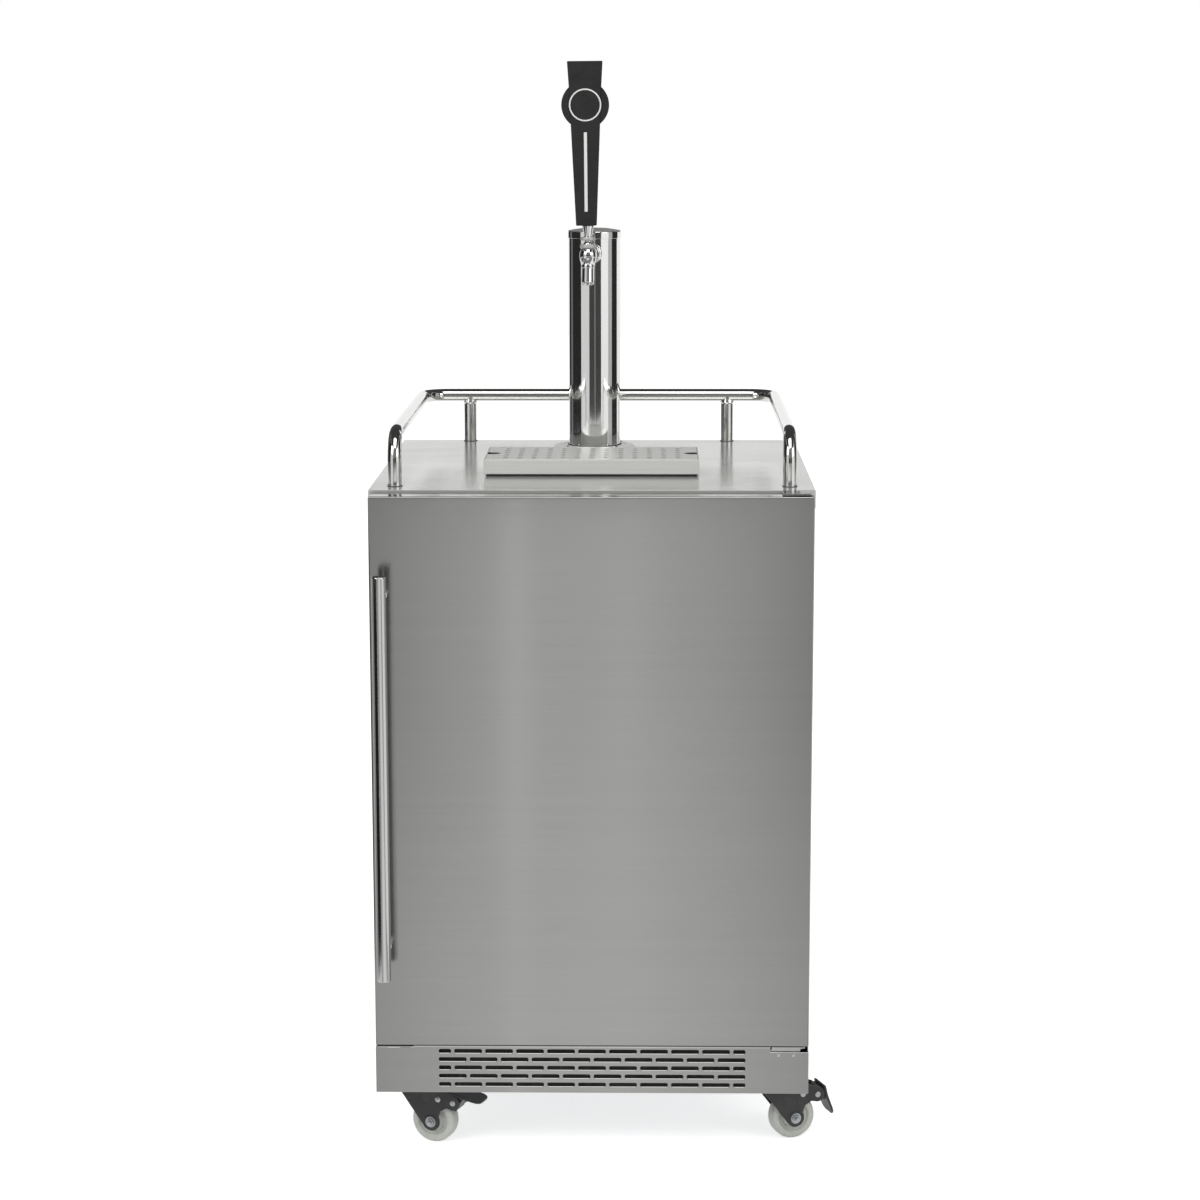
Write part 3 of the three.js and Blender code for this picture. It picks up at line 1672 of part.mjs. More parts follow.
function thermostatKnob() {
  const start = thermostat_front - seat_gap;
  const centre = (depth) => [thermostat_x, behind(depth), thermostat_mid_z];
  const disc = rod(centre(start), centre(start - knob_height / 2), knob_radius, round);
  const grip = block(
    [thermostat_x - knob_grip / 2, thermostat_x + knob_grip / 2],
    [behind(start - knob_height), behind(start)],
    [thermostat_mid_z - knob_radius + thick_sheet, thermostat_mid_z + knob_radius - thick_sheet],
  );
  return joined(disc, grip);
}

function interiorLight() {
  const from = front_gap + light_front;
  return acrossBlock(
    light_width / 2,
    [from, from + light_depth],
    [liner_inner_top - light_height, liner_inner_top],
  );
}

kegerator.add(
  piece('back_cover', backCover(), 'galvanised'),
  piece('evaporator_coil', evaporatorCoil(), 'aluminium'),
  piece('evaporator_cover', evaporatorCover(), 'white_plastic'),
  circulation_fan,
  piece('thermostat_housing', thermostatHousing(), 'white_plastic'),
  piece('thermostat_knob', thermostatKnob(), 'black_plastic'),
  piece('interior_light', interiorLight(), 'lens'),
);

export default kegerator;
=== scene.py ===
import json
from functools import partial
from math import cos, pi, radians, sin

import bmesh
import bpy
from bpy.props import FloatProperty, FloatVectorProperty, IntProperty, PointerProperty
from mathutils import Matrix, Vector


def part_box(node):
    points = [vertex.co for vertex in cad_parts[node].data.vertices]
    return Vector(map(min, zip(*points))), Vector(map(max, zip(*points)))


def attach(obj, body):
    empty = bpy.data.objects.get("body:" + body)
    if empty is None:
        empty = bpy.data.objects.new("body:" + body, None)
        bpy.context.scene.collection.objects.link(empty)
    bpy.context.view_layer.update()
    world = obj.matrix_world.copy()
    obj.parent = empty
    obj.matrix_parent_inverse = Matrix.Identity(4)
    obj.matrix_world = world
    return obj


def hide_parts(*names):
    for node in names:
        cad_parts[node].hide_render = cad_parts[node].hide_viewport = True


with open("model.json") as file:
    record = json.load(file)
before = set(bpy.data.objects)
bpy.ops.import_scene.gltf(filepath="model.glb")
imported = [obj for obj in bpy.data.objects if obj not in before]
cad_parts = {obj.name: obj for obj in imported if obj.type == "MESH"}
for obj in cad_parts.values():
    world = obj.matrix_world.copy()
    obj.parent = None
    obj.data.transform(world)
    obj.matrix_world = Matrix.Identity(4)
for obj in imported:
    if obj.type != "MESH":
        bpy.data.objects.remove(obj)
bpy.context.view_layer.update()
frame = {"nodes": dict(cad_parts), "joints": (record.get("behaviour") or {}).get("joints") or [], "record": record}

bl_info = {
    "name": "Kegerator",
    "version": (1, 0, 0),
    "blender": (4, 5, 0),
    "location": "View3D > Sidebar > Kegerator",
    "description": "Builds the finished pieces, finishes and studio of a free-standing kegerator",
    "category": "Object",
}

MILLIMETRE = 0.001
DOUBLES = 0.001

# Room that the rear screws' heads take inside the frame's depth
HEAD_ROOM = 1.6

# Where the liner steps over the machine space: the step's front in Y and its top in Z
STEP_FRONT, STEP_TOP = 183.25, 370.0

# Middle of the door's foam, and in X and Z of the raised field of its inner panel
DOOR_CENTRE = (0.0, -250.0, 528.25)

# Facets on round pieces
FINE = 96
ROUND = 48
COARSE = 24


# Places and sizes read from the frame, in millimetres
def extent(node):
    """The X, Y and Z ranges of a CAD node."""
    low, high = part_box(node)
    return [(low[axis] / MILLIMETRE, high[axis] / MILLIMETRE) for axis in range(3)]


def middle(span):
    return (span[0] + span[1]) / 2


def width_of(span):
    return span[1] - span[0]


def drawn_in(span, by):
    return (span[0] + by, span[1] - by)


def flat_box(across, along):
    """Size and centre of the rectangle over two ranges."""
    return (width_of(across), width_of(along)), (middle(across), middle(along))


def reduced(size, by):
    return (size[0] - by, size[1] - by)


def at(x, y, z):
    return Matrix.Translation((x, y, z))


def turned(degrees, axis="Z"):
    return Matrix.Rotation(radians(degrees), 4, axis)


def facing(direction):
    """Turns a part's own Z axis to a direction."""
    return Vector(direction).to_track_quat("Z", "Y").to_matrix().to_4x4()


# Turns a part's own Z axis to the viewer
TO_VIEWER = facing((0, -1, 0))

# Stands a flat part up: its X stays, its Y becomes Z, and its own Z points to the viewer.
UPRIGHT = turned(90, "X")

# The same, with its own Z pointing away from the viewer
INWARD = UPRIGHT @ Matrix.Scale(-1, 4, (0, 0, 1))


# Parts of a piece, each a bmesh in millimetres
def bevelled(part, edges, width, segments):
    bmesh.ops.bevel(
        part, geom=edges, offset=width, offset_type="OFFSET", affect="EDGES",
        segments=segments, profile=0.5, material=-1, clamp_overlap=True,
    )
    return part


def soften(part, width, segments=2, sharper_than=40):
    """Rounds every edge that is sharper than an angle."""
    limit = radians(sharper_than)
    sharp = [e for e in part.edges if len(e.link_faces) == 2 and e.calc_face_angle(0) > limit]
    return bevelled(part, sharp, width, segments)


def of_kind(kind, geom):
    return [item for item in geom if isinstance(item, kind)]


def boxed(xs, ys, zs, edge=0.0, segments=2):
    part = bmesh.new()
    made = bmesh.ops.create_cube(part, size=1)["verts"]
    spans = (xs, ys, zs)
    bmesh.ops.scale(part, verts=made, vec=[width_of(span) for span in spans])
    bmesh.ops.translate(part, verts=made, vec=[middle(span) for span in spans])
    return soften(part, edge, segments) if edge else part


def spun(profile, steps=ROUND, closed=False, edge=0.0, segments=2):
    """Spins (radius, height) pairs a full turn about the Z axis."""
    part = bmesh.new()
    verts = [part.verts.new((radius, 0, height)) for radius, height in profile]
    pairs = list(zip(verts, verts[1:])) + ([(verts[-1], verts[0])] if closed else [])
    edges = [part.edges.new(pair) for pair in pairs]
    bmesh.ops.spin(
        part, geom=verts + edges, cent=(0, 0, 0), axis=(0, 0, 1), dvec=(0, 0, 0),
        angle=2 * pi, steps=steps, use_merge=True,
    )
    bmesh.ops.remove_doubles(part, verts=part.verts, dist=DOUBLES)
    bmesh.ops.recalc_face_normals(part, faces=part.faces)
    return soften(part, edge, segments) if edge else part


def rod(radius, low, high, steps=COARSE, edge=0.0):
    return spun([(0, low), (radius, low), (radius, high), (0, high)], steps, edge=edge)


def washer(inner, outer, low, high, steps=ROUND, edge=0.0):
    return spun([(inner, low), (outer, low), (outer, high), (inner, high)], steps, closed=True, edge=edge)


def rim(part, size, radius, centre=(0, 0), height=0.0, corner_steps=4):
    """A loop of edges round a rounded rectangle, a slot or a circle."""
    around = 4 * corner_steps
    spread = radius / cos(pi / around)
    verts = bmesh.ops.create_circle(part, cap_ends=False, segments=around, radius=spread)["verts"]
    half_step = Matrix.Rotation(pi / around, 3, "Z")
    bmesh.ops.rotate(part, verts=verts, cent=(0, 0, 0), matrix=half_step)
    for vert in verts:
        for axis in range(2):
            reach = size[axis] / 2 - radius
            vert.co[axis] += (reach if vert.co[axis] > 0 else -reach) + centre[axis]
        vert.co.z = height
    return [part.edges.get(pair) for pair in zip(verts, verts[1:] + verts[:1])]


def lofted(rings, closed=False, corner_steps=4):
    """Bridges rounded rectangles, each (height, size, corner radius) and, where it isn't central, its centre."""
    part = bmesh.new()
    loops = [
        rim(part, size, radius, *centre, height=height, corner_steps=corner_steps)
        for height, size, radius, *centre in rings
    ]
    for lower, upper in zip(loops, loops[1:] + (loops[:1] if closed else [])):
        for pair in zip(lower, upper):
            bmesh.ops.contextual_create(part, geom=pair)
    if not closed:
        for loop in (loops[0], loops[-1]):
            bmesh.ops.edgeloop_fill(part, edges=loop)
    bmesh.ops.recalc_face_normals(part, faces=part.faces)
    return part


def outlined(part, points):
    """A loop of edges through (x, y) points."""
    verts = [part.verts.new((x, y, 0)) for x, y in points]
    return [part.edges.new(pair) for pair in zip(verts, verts[1:] + verts[:1])]


def plate(part, edges, thickness, edge=0.0, segments=1):
    """Fills the outline and leaves out the holes, then thickens the sheet downwards."""
    bmesh.ops.triangle_fill(part, use_beauty=True, use_dissolve=False, edges=edges)
    below = bmesh.ops.extrude_face_region(part, geom=part.faces[:])["geom"]
    bmesh.ops.translate(part, verts=of_kind(bmesh.types.BMVert, below), vec=(0, 0, -thickness))
    bmesh.ops.recalc_face_normals(part, faces=part.faces)
    return soften(part, edge, segments, sharper_than=60) if edge else part


def arc(centre, radius, start, stop, steps):
    """Points on an arc, both ends included."""
    turns = [radians(start + (stop - start) * i / steps) for i in range(steps + 1)]
    return [(centre[0] + radius * cos(a), centre[1] + radius * sin(a)) for a in turns]


def piped(route, radius, bend=0.0, sides=COARSE, bend_steps=10, edge=0.0):
    """A round bar along a route whose corners are square and bent to a radius."""
    part = bmesh.new()
    points = [Vector(point) for point in route]
    heading = (points[1] - points[0]).normalized()
    start = Matrix.Translation(points[0]) @ facing(heading)
    bmesh.ops.create_circle(part, cap_ends=True, segments=sides, radius=radius, matrix=start)
    end = part.faces[:][0]
    here = points[0]
    for i, corner in enumerate(points[1:], start=1):
        last = i == len(points) - 1
        run = heading * ((corner - here).length - (0 if last else bend))
        pushed = bmesh.ops.extrude_face_region(part, geom=[end])["geom"]
        bmesh.ops.translate(part, verts=of_kind(bmesh.types.BMVert, pushed), vec=run)
        end = of_kind(bmesh.types.BMFace, pushed)[0]
        here = here + run
        if last:
            break
        out = (points[i + 1] - corner).normalized()
        swung = bmesh.ops.spin(
            part, geom=[end, *end.edges, *end.verts], cent=here + out * bend,
            axis=heading.cross(out), dvec=(0, 0, 0), angle=pi / 2, steps=bend_steps,
        )["geom_last"]
        end = of_kind(bmesh.types.BMFace, swung)[0]
        here, heading = corner + out * bend, out
    bmesh.ops.recalc_face_normals(part, faces=part.faces)
    return soften(part, edge) if edge else part


def cad_copy(node, edge=0.0, segments=2):
    """A CAD node's own shape, merged, with its flat faces whole and its edges rounded."""
    part = bmesh.new()
    part.from_mesh(frame["nodes"][node].data)
    part.transform(Matrix.Scale(1 / MILLIMETRE, 4))
    bmesh.ops.remove_doubles(part, verts=part.verts, dist=DOUBLES)
    bmesh.ops.dissolve_limit(part, angle_limit=radians(1), verts=part.verts, edges=part.edges)
    return soften(part, edge, segments) if edge else part


class Piece:
    """A finished piece in the making: its parts, its place and what it stands for."""

    def __init__(self, place=None):
        self.mesh = bmesh.new()
        self.place = place or Matrix.Identity(4)

    def add(self, part, place=None):
        part.transform(self.place @ (place or Matrix.Identity(4)))
        part.normal_update()
        bmesh.ops.recalc_face_normals(part, faces=part.faces)
        carrier = bpy.data.meshes.new("carrier")
        part.to_mesh(carrier)
        part.free()
        self.mesh.from_mesh(carrier)
        bpy.data.meshes.remove(carrier)
        return self

    def finish(self, name, body, slot, replaces=(), finish=None, smooth_under=38):
        """Makes the object, with its finish, the body that it rides on and the nodes that it replaces."""
        self.mesh.transform(Matrix.Scale(MILLIMETRE, 4))
        limit = radians(smooth_under)
        for face in self.mesh.faces:
            face.smooth = True
        for edge in self.mesh.edges:
            edge.smooth = len(edge.link_faces) == 2 and edge.calc_face_angle(pi) < limit
        data = bpy.data.meshes.new(name)
        self.mesh.to_mesh(data)
        self.mesh.free()
        data.materials.append(finish_named(finish or slot))
        piece = bpy.data.objects.new(name, data)
        bpy.context.scene.collection.objects.link(piece)
        even = piece.modifiers.new("even_shading", "WEIGHTED_NORMAL")
        even.keep_sharp = True
        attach(piece, body)
        if replaces:
            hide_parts(*replaces)
        return piece


def single(part, name, body, slot, replaces=(), place=None, **rest):
    """A piece made of one part."""
    return Piece(place).add(part).finish(name, body, slot, replaces, **rest)


# Finishes
class Value:
    """A number that varies over a surface. Python's operators add Math nodes."""

    def __init__(self, paint, socket):
        self.paint = paint
        self.socket = socket

    def math(self, operation, first, second):
        return self.paint.node("ShaderNodeMath", {"operation": operation}, {0: first, 1: second})

    def __add__(self, other):
        return self.math("ADD", self, other)

    def __radd__(self, other):
        return self.math("ADD", other, self)

    def __sub__(self, other):
        return self.math("SUBTRACT", self, other)

    def __rsub__(self, other):
        return self.math("SUBTRACT", other, self)

    def __mul__(self, other):
        return self.math("MULTIPLY", self, other)

    def __pow__(self, other):
        return self.math("POWER", self, other)

    def near(self, centre, reach):
        """1 at a centre, falling off to half at a reach to each side."""
        offset = (self - centre) * (1 / reach)
        return (offset * offset + 1.0) ** -1.0


class Paint:
    """A node-based finish in the making."""

    def __init__(self, name, **constants):
        self.material = bpy.data.materials.new(name)
        self.material.use_nodes = True
        self.tree = self.material.node_tree
        self.shader = self.tree.nodes["Principled BSDF"]
        for socket, constant in constants.items():
            self.set(socket.replace("_", " "), constant)
        self.place = self.node("ShaderNodeTexCoord", out="Object")

    def set(self, socket, value):
        self.plug(self.shader.inputs[socket], value)

    def plug(self, socket, value):
        if isinstance(value, Value):
            self.tree.links.new(value.socket, socket)
        elif hasattr(value, "__len__") and socket.type == "RGBA":
            socket.default_value = (*value[:3], 1)
        else:
            socket.default_value = value

    def node(self, kind, settings=None, sockets=None, out=0):
        made = self.tree.nodes.new(kind)
        for setting, value in (settings or {}).items():
            setattr(made, setting, value)
        for socket, value in (sockets or {}).items():
            self.plug(made.inputs[socket], value)
        return Value(self, made.outputs[out])

    def stretched(self, scale, offset=0.0):
        """Object coordinates in metres, times a scale for all axes or for each, and moved."""
        scale = scale if hasattr(scale, "__len__") else (scale, scale, scale)
        return self.node("ShaderNodeMapping", {}, {
            "Vector": self.place, "Scale": scale, "Location": (offset, offset, offset),
        })

    def noise(self, scale, detail=3.0, roughness=0.6, offset=0.0):
        """Noise from 0 to 1, with as many waves to the metre as the scale says."""
        return self.node("ShaderNodeTexNoise", {}, {
            "Vector": self.stretched(scale, offset), "Scale": 1.0, "Detail": detail, "Roughness": roughness,
        })

    def cells(self, scale, out="Distance"):
        return self.node("ShaderNodeTexVoronoi", {}, {"Vector": self.stretched(scale), "Scale": 1.0}, out=out)

    def spread(self, value, low, high, to_low=0.0, to_high=1.0):
        """Stretches the part of a value between two limits over a new range."""
        return self.node("ShaderNodeMapRange", {}, {
            "Value": value, "From Min": low, "From Max": high, "To Min": to_low, "To Max": to_high,
        })

    def mixed(self, share, first, second):
        made = self.tree.nodes.new("ShaderNodeMix")
        made.data_type = "RGBA"
        self.plug(made.inputs[0], share)
        self.plug(made.inputs[6], first)
        self.plug(made.inputs[7], second)
        return Value(self, made.outputs[2])

    def bump(self, height, strength, distance):
        self.set("Normal", self.node("ShaderNodeBump", {}, {
            "Height": height, "Strength": strength, "Distance": distance,
        }))


def shade(colour, factor):
    return [min(1.0, channel * factor) for channel in colour[:3]]


def brushed(name, colour, grain, roughness, contrast, anisotropy=0.0, edge_tint=1.0, metal=1.0):
    """Stainless sheet with a satin grain. Grain is the waves to the metre on each axis."""
    paint = Paint(
        name, Metallic=metal, Anisotropic=anisotropy, Anisotropic_Rotation=0.25,
        Specular_Tint=(edge_tint, edge_tint, edge_tint),
    )
    lines = paint.noise(grain, detail=4.0, roughness=0.75)
    broad = paint.noise([wave / 9 for wave in grain], detail=2.0, offset=3.1)
    hands = paint.noise((4.5, 4.5, 3.5), detail=3.0, offset=7.7)
    streak = paint.spread(lines * 0.65 + broad * 0.35, 0.32, 0.68)
    cloud = paint.spread(hands, 0.3, 0.7)
    tone = streak * 0.7 + cloud * 0.3
    paint.set("Base Color", paint.mixed(tone, shade(colour, 1 - contrast), shade(colour, 1 + contrast)))
    paint.set("Roughness", roughness - 0.04 + streak * 0.07 + cloud * 0.05)
    paint.bump(lines, 0.12, 0.0003)
    return paint.material


def polished(name, colour, grain, roughness, lines):
    """Bright-polished steel with faint draw lines and wiped patches."""
    paint = Paint(name, Metallic=1.0)
    drawn = paint.noise(grain, detail=3.0)
    wiped = paint.spread(paint.noise((9, 9, 6), detail=4.0, offset=2.0), 0.35, 0.7)
    tone = paint.spread(drawn, 0.3, 0.7)
    paint.set("Base Color", paint.mixed(tone * 0.6 + wiped * 0.4, shade(colour, 0.93), shade(colour, 1.04)))
    paint.set("Roughness", roughness + tone * lines + wiped * 0.03)
    paint.bump(drawn, 0.04, 0.0001)
    return paint.material


def galvanised(name, colour):
    """Zinc-coated sheet with its flat crystals."""
    paint = Paint(name, Metallic=0.9)
    crystals = paint.cells(85, out="Color")
    tone = paint.node("ShaderNodeSeparateColor", {}, {"Color": crystals}, out=0)
    fine = paint.noise(300, detail=3.0)
    paint.set("Base Color", paint.mixed(tone * 0.7 + fine * 0.3, shade(colour, 0.82), shade(colour, 1.18)))
    paint.set("Roughness", 0.36 + tone * 0.14 + fine * 0.06)
    paint.bump(tone + fine * 0.3, 0.05, 0.0002)
    return paint.material


def coated(name, colour, roughness):
    """Black paint on pressed steel, rubbed and dusty in patches."""
    paint = Paint(name, Metallic=0.15, Coat_Weight=0.12, Coat_Roughness=0.35)
    peel = paint.noise(420, detail=2.0)
    dust = paint.spread(paint.noise(38, detail=5.0, offset=5.0), 0.48, 0.75)
    rubbed = paint.spread(paint.noise((150, 150, 60), detail=4.0, offset=9.0), 0.66, 0.72)
    dark = paint.mixed(dust * 0.5, colour, [0.075, 0.075, 0.07])
    paint.set("Base Color", paint.mixed(rubbed * 0.35, dark, [0.16, 0.16, 0.155]))
    paint.set("Roughness", roughness + dust * 0.2 - rubbed * 0.12)
    paint.bump(peel, 0.12, 0.0003)
    return paint.material


def moulded(name, colour, roughness, texture, depth, wear, **constants):
    """Moulded plastic with a fine spark-eroded texture and slight marks."""
    paint = Paint(name, **constants)
    grain = paint.noise(texture, detail=2.0)
    marks = paint.spread(paint.noise(55, detail=5.0, offset=4.0), 0.42, 0.72)
    paint.set("Base Color", paint.mixed(marks, colour, shade(colour, 1 - wear)))
    paint.set("Roughness", roughness + grain * 0.08 + marks * 0.06)
    paint.bump(grain, depth, 0.0003)
    return paint.material


def rubbery(name, colour):
    paint = Paint(name)
    grain = paint.noise(520, detail=3.0)
    bloom = paint.spread(paint.noise(26, detail=4.0, offset=1.0), 0.45, 0.75)
    paint.set("Base Color", paint.mixed(bloom * 0.5, colour, [0.06, 0.06, 0.06]))
    paint.set("Roughness", 0.62 + grain * 0.2)
    paint.bump(grain, 0.25, 0.0004)
    return paint.material


def foamed(name, colour):
    """Rigid insulation foam with its open cut cells."""
    paint = Paint(name)
    cells = paint.cells(520)
    patches = paint.noise(30, detail=4.0)
    paint.set("Base Color", paint.mixed(cells * 0.6 + patches * 0.4, shade(colour, 1.08), shade(colour, 0.72)))
    paint.set("Roughness", 0.85 + cells * 0.12)
    paint.bump(1 - cells, 0.5, 0.001)
    return paint.material


def wheel_finish(name, colour):
    """Grey nylon with scuffs and dust in its grooves."""
    paint = Paint(name, Coat_Weight=0.08, Coat_Roughness=0.4)
    scuffs = paint.spread(paint.noise(120, detail=6.0, offset=6.0), 0.5, 0.8)
    cloud = paint.noise(24, detail=3.0)
    grain = paint.noise(600, detail=2.0)
    tone = paint.mixed(cloud, shade(colour, 0.94), shade(colour, 1.05))
    paint.set("Base Color", paint.mixed(scuffs * 0.45, tone, shade(colour, 0.55)))
    paint.set("Roughness", 0.4 + scuffs * 0.25 + grain * 0.05)
    paint.bump(grain + scuffs * 0.5, 0.12, 0.0004)
    return paint.material


def finned(name, colour):
    paint = Paint(name, Metallic=1.0)
    milled = paint.noise((60, 60, 700), detail=3.0)
    dull = paint.noise(18, detail=4.0, offset=2.0)
    paint.set("Base Color", paint.mixed(milled * 0.5 + dull * 0.5, shade(colour, 0.8), shade(colour, 1.1)))
    paint.set("Roughness", 0.36 + dull * 0.16)
    paint.bump(milled, 0.1, 0.0002)
    return paint.material


SLOT_COLOUR = {entry["slot"]: entry["base_color"] for entry in frame["record"]["materials"]}
ACROSS = (7, 300, 620)
ACROSS_TOP = (7, 620, 300)
ALONG_DEPTH = (300, 7, 620)


# Colours of the finishes that have no slot in the frame and no setting
# slot_dark is near black: printed marks and dark seams, and painted shade in the spout's bore and behind the kick
# plate's slots
PLAIN_COLOUR = {"ring_satin": (0.42, 0.42, 0.41), "plug_satin": (0.2, 0.2, 0.2), "slot_dark": (0.012, 0.012, 0.012)}

satin = partial(brushed, grain=ACROSS_TOP, roughness=0.4, contrast=0.06, edge_tint=0.9, metal=0.4)

RECIPES = {
    "door_steel": partial(brushed, grain=ACROSS, roughness=0.1, contrast=0.05, anisotropy=0.6),
    "side_steel": partial(brushed, grain=ALONG_DEPTH, roughness=0.26, contrast=0.04),
    "worktop_steel": partial(brushed, grain=ACROSS_TOP, roughness=0.15, contrast=0.05, edge_tint=0.86, metal=0.55),
    "tray_steel": partial(brushed, grain=ACROSS_TOP, roughness=0.34, contrast=0.05, edge_tint=0.9, metal=0.35),
    "ring_satin": satin,
    "plug_satin": satin,
    "bracket_steel": partial(brushed, grain=ACROSS_TOP, roughness=0.22, contrast=0.08),
    "handle_steel": partial(polished, grain=(500, 500, 9), roughness=0.1, lines=0.03),
    "rail_steel": partial(polished, grain=260, roughness=0.07, lines=0.03),
    "tower_steel": partial(polished, grain=(900, 900, 14), roughness=0.045, lines=0.02),
    "chrome": partial(polished, grain=120, roughness=0.035, lines=0.01),
    "galvanised": galvanised,
    "caster_black": partial(coated, roughness=0.42),
    "compressor_black": partial(coated, roughness=0.32),
    # Near-black for printed marks and seams, also used as painted shade behind the kick plate's slots and in the
    # spout's bore
    "slot_dark": partial(coated, roughness=0.6),
    "fin_aluminium": finned,
    "wheel_grey": wheel_finish,
    "gasket_rubber": rubbery,
    "foam": foamed,
    "handle_black": partial(moulded, roughness=0.52, texture=900, depth=0.1, wear=0.25, Specular_IOR_Level=0.1),
    "fan_black": partial(moulded, roughness=0.5, texture=500, depth=0.2, wear=0.3),
    "liner_white": partial(moulded, roughness=0.36, texture=420, depth=0.08, wear=0.04),
    "light_lens": partial(moulded, roughness=0.2, texture=900, depth=0.04, wear=0.03, Subsurface_Weight=0.2),
    "clear_hose": partial(moulded, roughness=0.12, texture=300, depth=0.03, wear=0.05, Transmission_Weight=0.6),
    "trim_grey": partial(moulded, roughness=0.4, texture=900, depth=0.05, wear=0.08),
}


def colour_of(name):
    """A finish's colour: the setting, or else the plain colour, or else that of the slot."""
    settings = bpy.context.scene.kegerator_finishes
    if hasattr(settings, name):
        return getattr(settings, name)
    return PLAIN_COLOUR.get(name) or SLOT_COLOUR[name]


def finish_named(name):
    """The finish of that name, made when it is first asked for."""
    title = f"{name}_finish"
    material = bpy.data.materials.get(title)
    if not material:
        material = RECIPES[name](name, colour_of(name))
        material.name = title
    return material


def dress(node, slot):
    """Gives a CAD node that keeps its own shape its finish."""
    data = frame["nodes"][node].data
    data.materials.clear()
    data.materials.append(finish_named(slot))


def colour_setting(label, description, slot=None, default=None):
    return FloatVectorProperty(
        name=label, description=description, subtype="COLOR", size=3, min=0.0, max=1.0,
        default=tuple(default or SLOT_COLOUR[slot]),
    )


def length_setting(label, description, default):
    return FloatProperty(name=label, description=description, default=default, min=0.0, unit="NONE")


class KegeratorSizes(bpy.types.PropertyGroup):
    """Small sizes that the frame doesn't hold, in millimetres"""

    sheet_edge: length_setting("Sheet edge", "Radius of a folded sheet's outer edge, in mm", 1.2)
    door_edge: length_setting("Door edge", "Radius of the door skin's folded edges, in mm", 2.0)
    handle_edge: length_setting("Tap handle edge", "Radius of the tap handle's edges, in mm", 1.4)
    liner_corner: length_setting("Liner corner", "Radius inside the food liner's corners, in mm", 14.0)
    fin_count: IntProperty(
        name="Condenser fins", description="Number of thin fins on the condenser", default=22, min=2,
    )
    screw_radius: length_setting("Screw head", "Radius of the sheet screws' heads, in mm", 3.4)


class KegeratorFinishes(bpy.types.PropertyGroup):
    """Colours of the finishes, as linear RGB"""

    door_steel: colour_setting("Door steel", "Brushed steel of the door and kick plate", "door_steel")
    worktop_steel: colour_setting("Worktop steel", "Satin steel of the worktop", "worktop_steel")
    tray_steel: colour_setting("Tray steel", "Brushed steel of the drip tray", default=(0.66, 0.66, 0.64))
    rail_steel: colour_setting("Rail steel", "Polished tube of the guard rail", default=(0.74, 0.74, 0.72))
    tower_steel: colour_setting("Tower steel", "Mirror-polished column", default=(0.82, 0.82, 0.81))
    caster_black: colour_setting("Caster black", "Painted forks and brake levers", "caster_black")
    wheel_grey: colour_setting("Wheel grey", "Nylon wheels", default=(0.52, 0.53, 0.49))
    handle_black: colour_setting("Tap handle black", "Matte tap handle", default=(0.024, 0.024, 0.0245))
    liner_white: colour_setting("Liner white", "Moulded liner and covers", "liner_white")
    trim_grey: colour_setting("Trim grey", "Plain inlays of the tap handle", default=(0.62, 0.62, 0.6))


def sizes():
    return bpy.context.scene.kegerator_sizes


def screws(name, body, places, towards, slot="galvanised"):
    """Like pan-head screws with cross recesses, their heads facing one way."""
    radius, height = sizes().screw_radius, HEAD_ROOM
    piece = Piece()
    for place in places:
        own = at(*place) @ facing(towards)
        piece.add(spun([
            (0, 0), (radius, 0), (radius, height * 0.35), (radius * 0.82, height * 0.8),
            (radius * 0.45, height), (0, height),
        ], COARSE), own)
        for quarter in (0, 90):
            piece.add(boxed((-1.9, 1.9), (-0.3, 0.3), (1.45, 1.7)), own @ turned(quarter))
    return piece.finish(name, body, slot)


def pulled_forward(part, behind, by):
    """Moves what lies behind a depth forward."""
    for vert in part.verts:
        if vert.co.y > behind:
            vert.co.y -= by
    return part


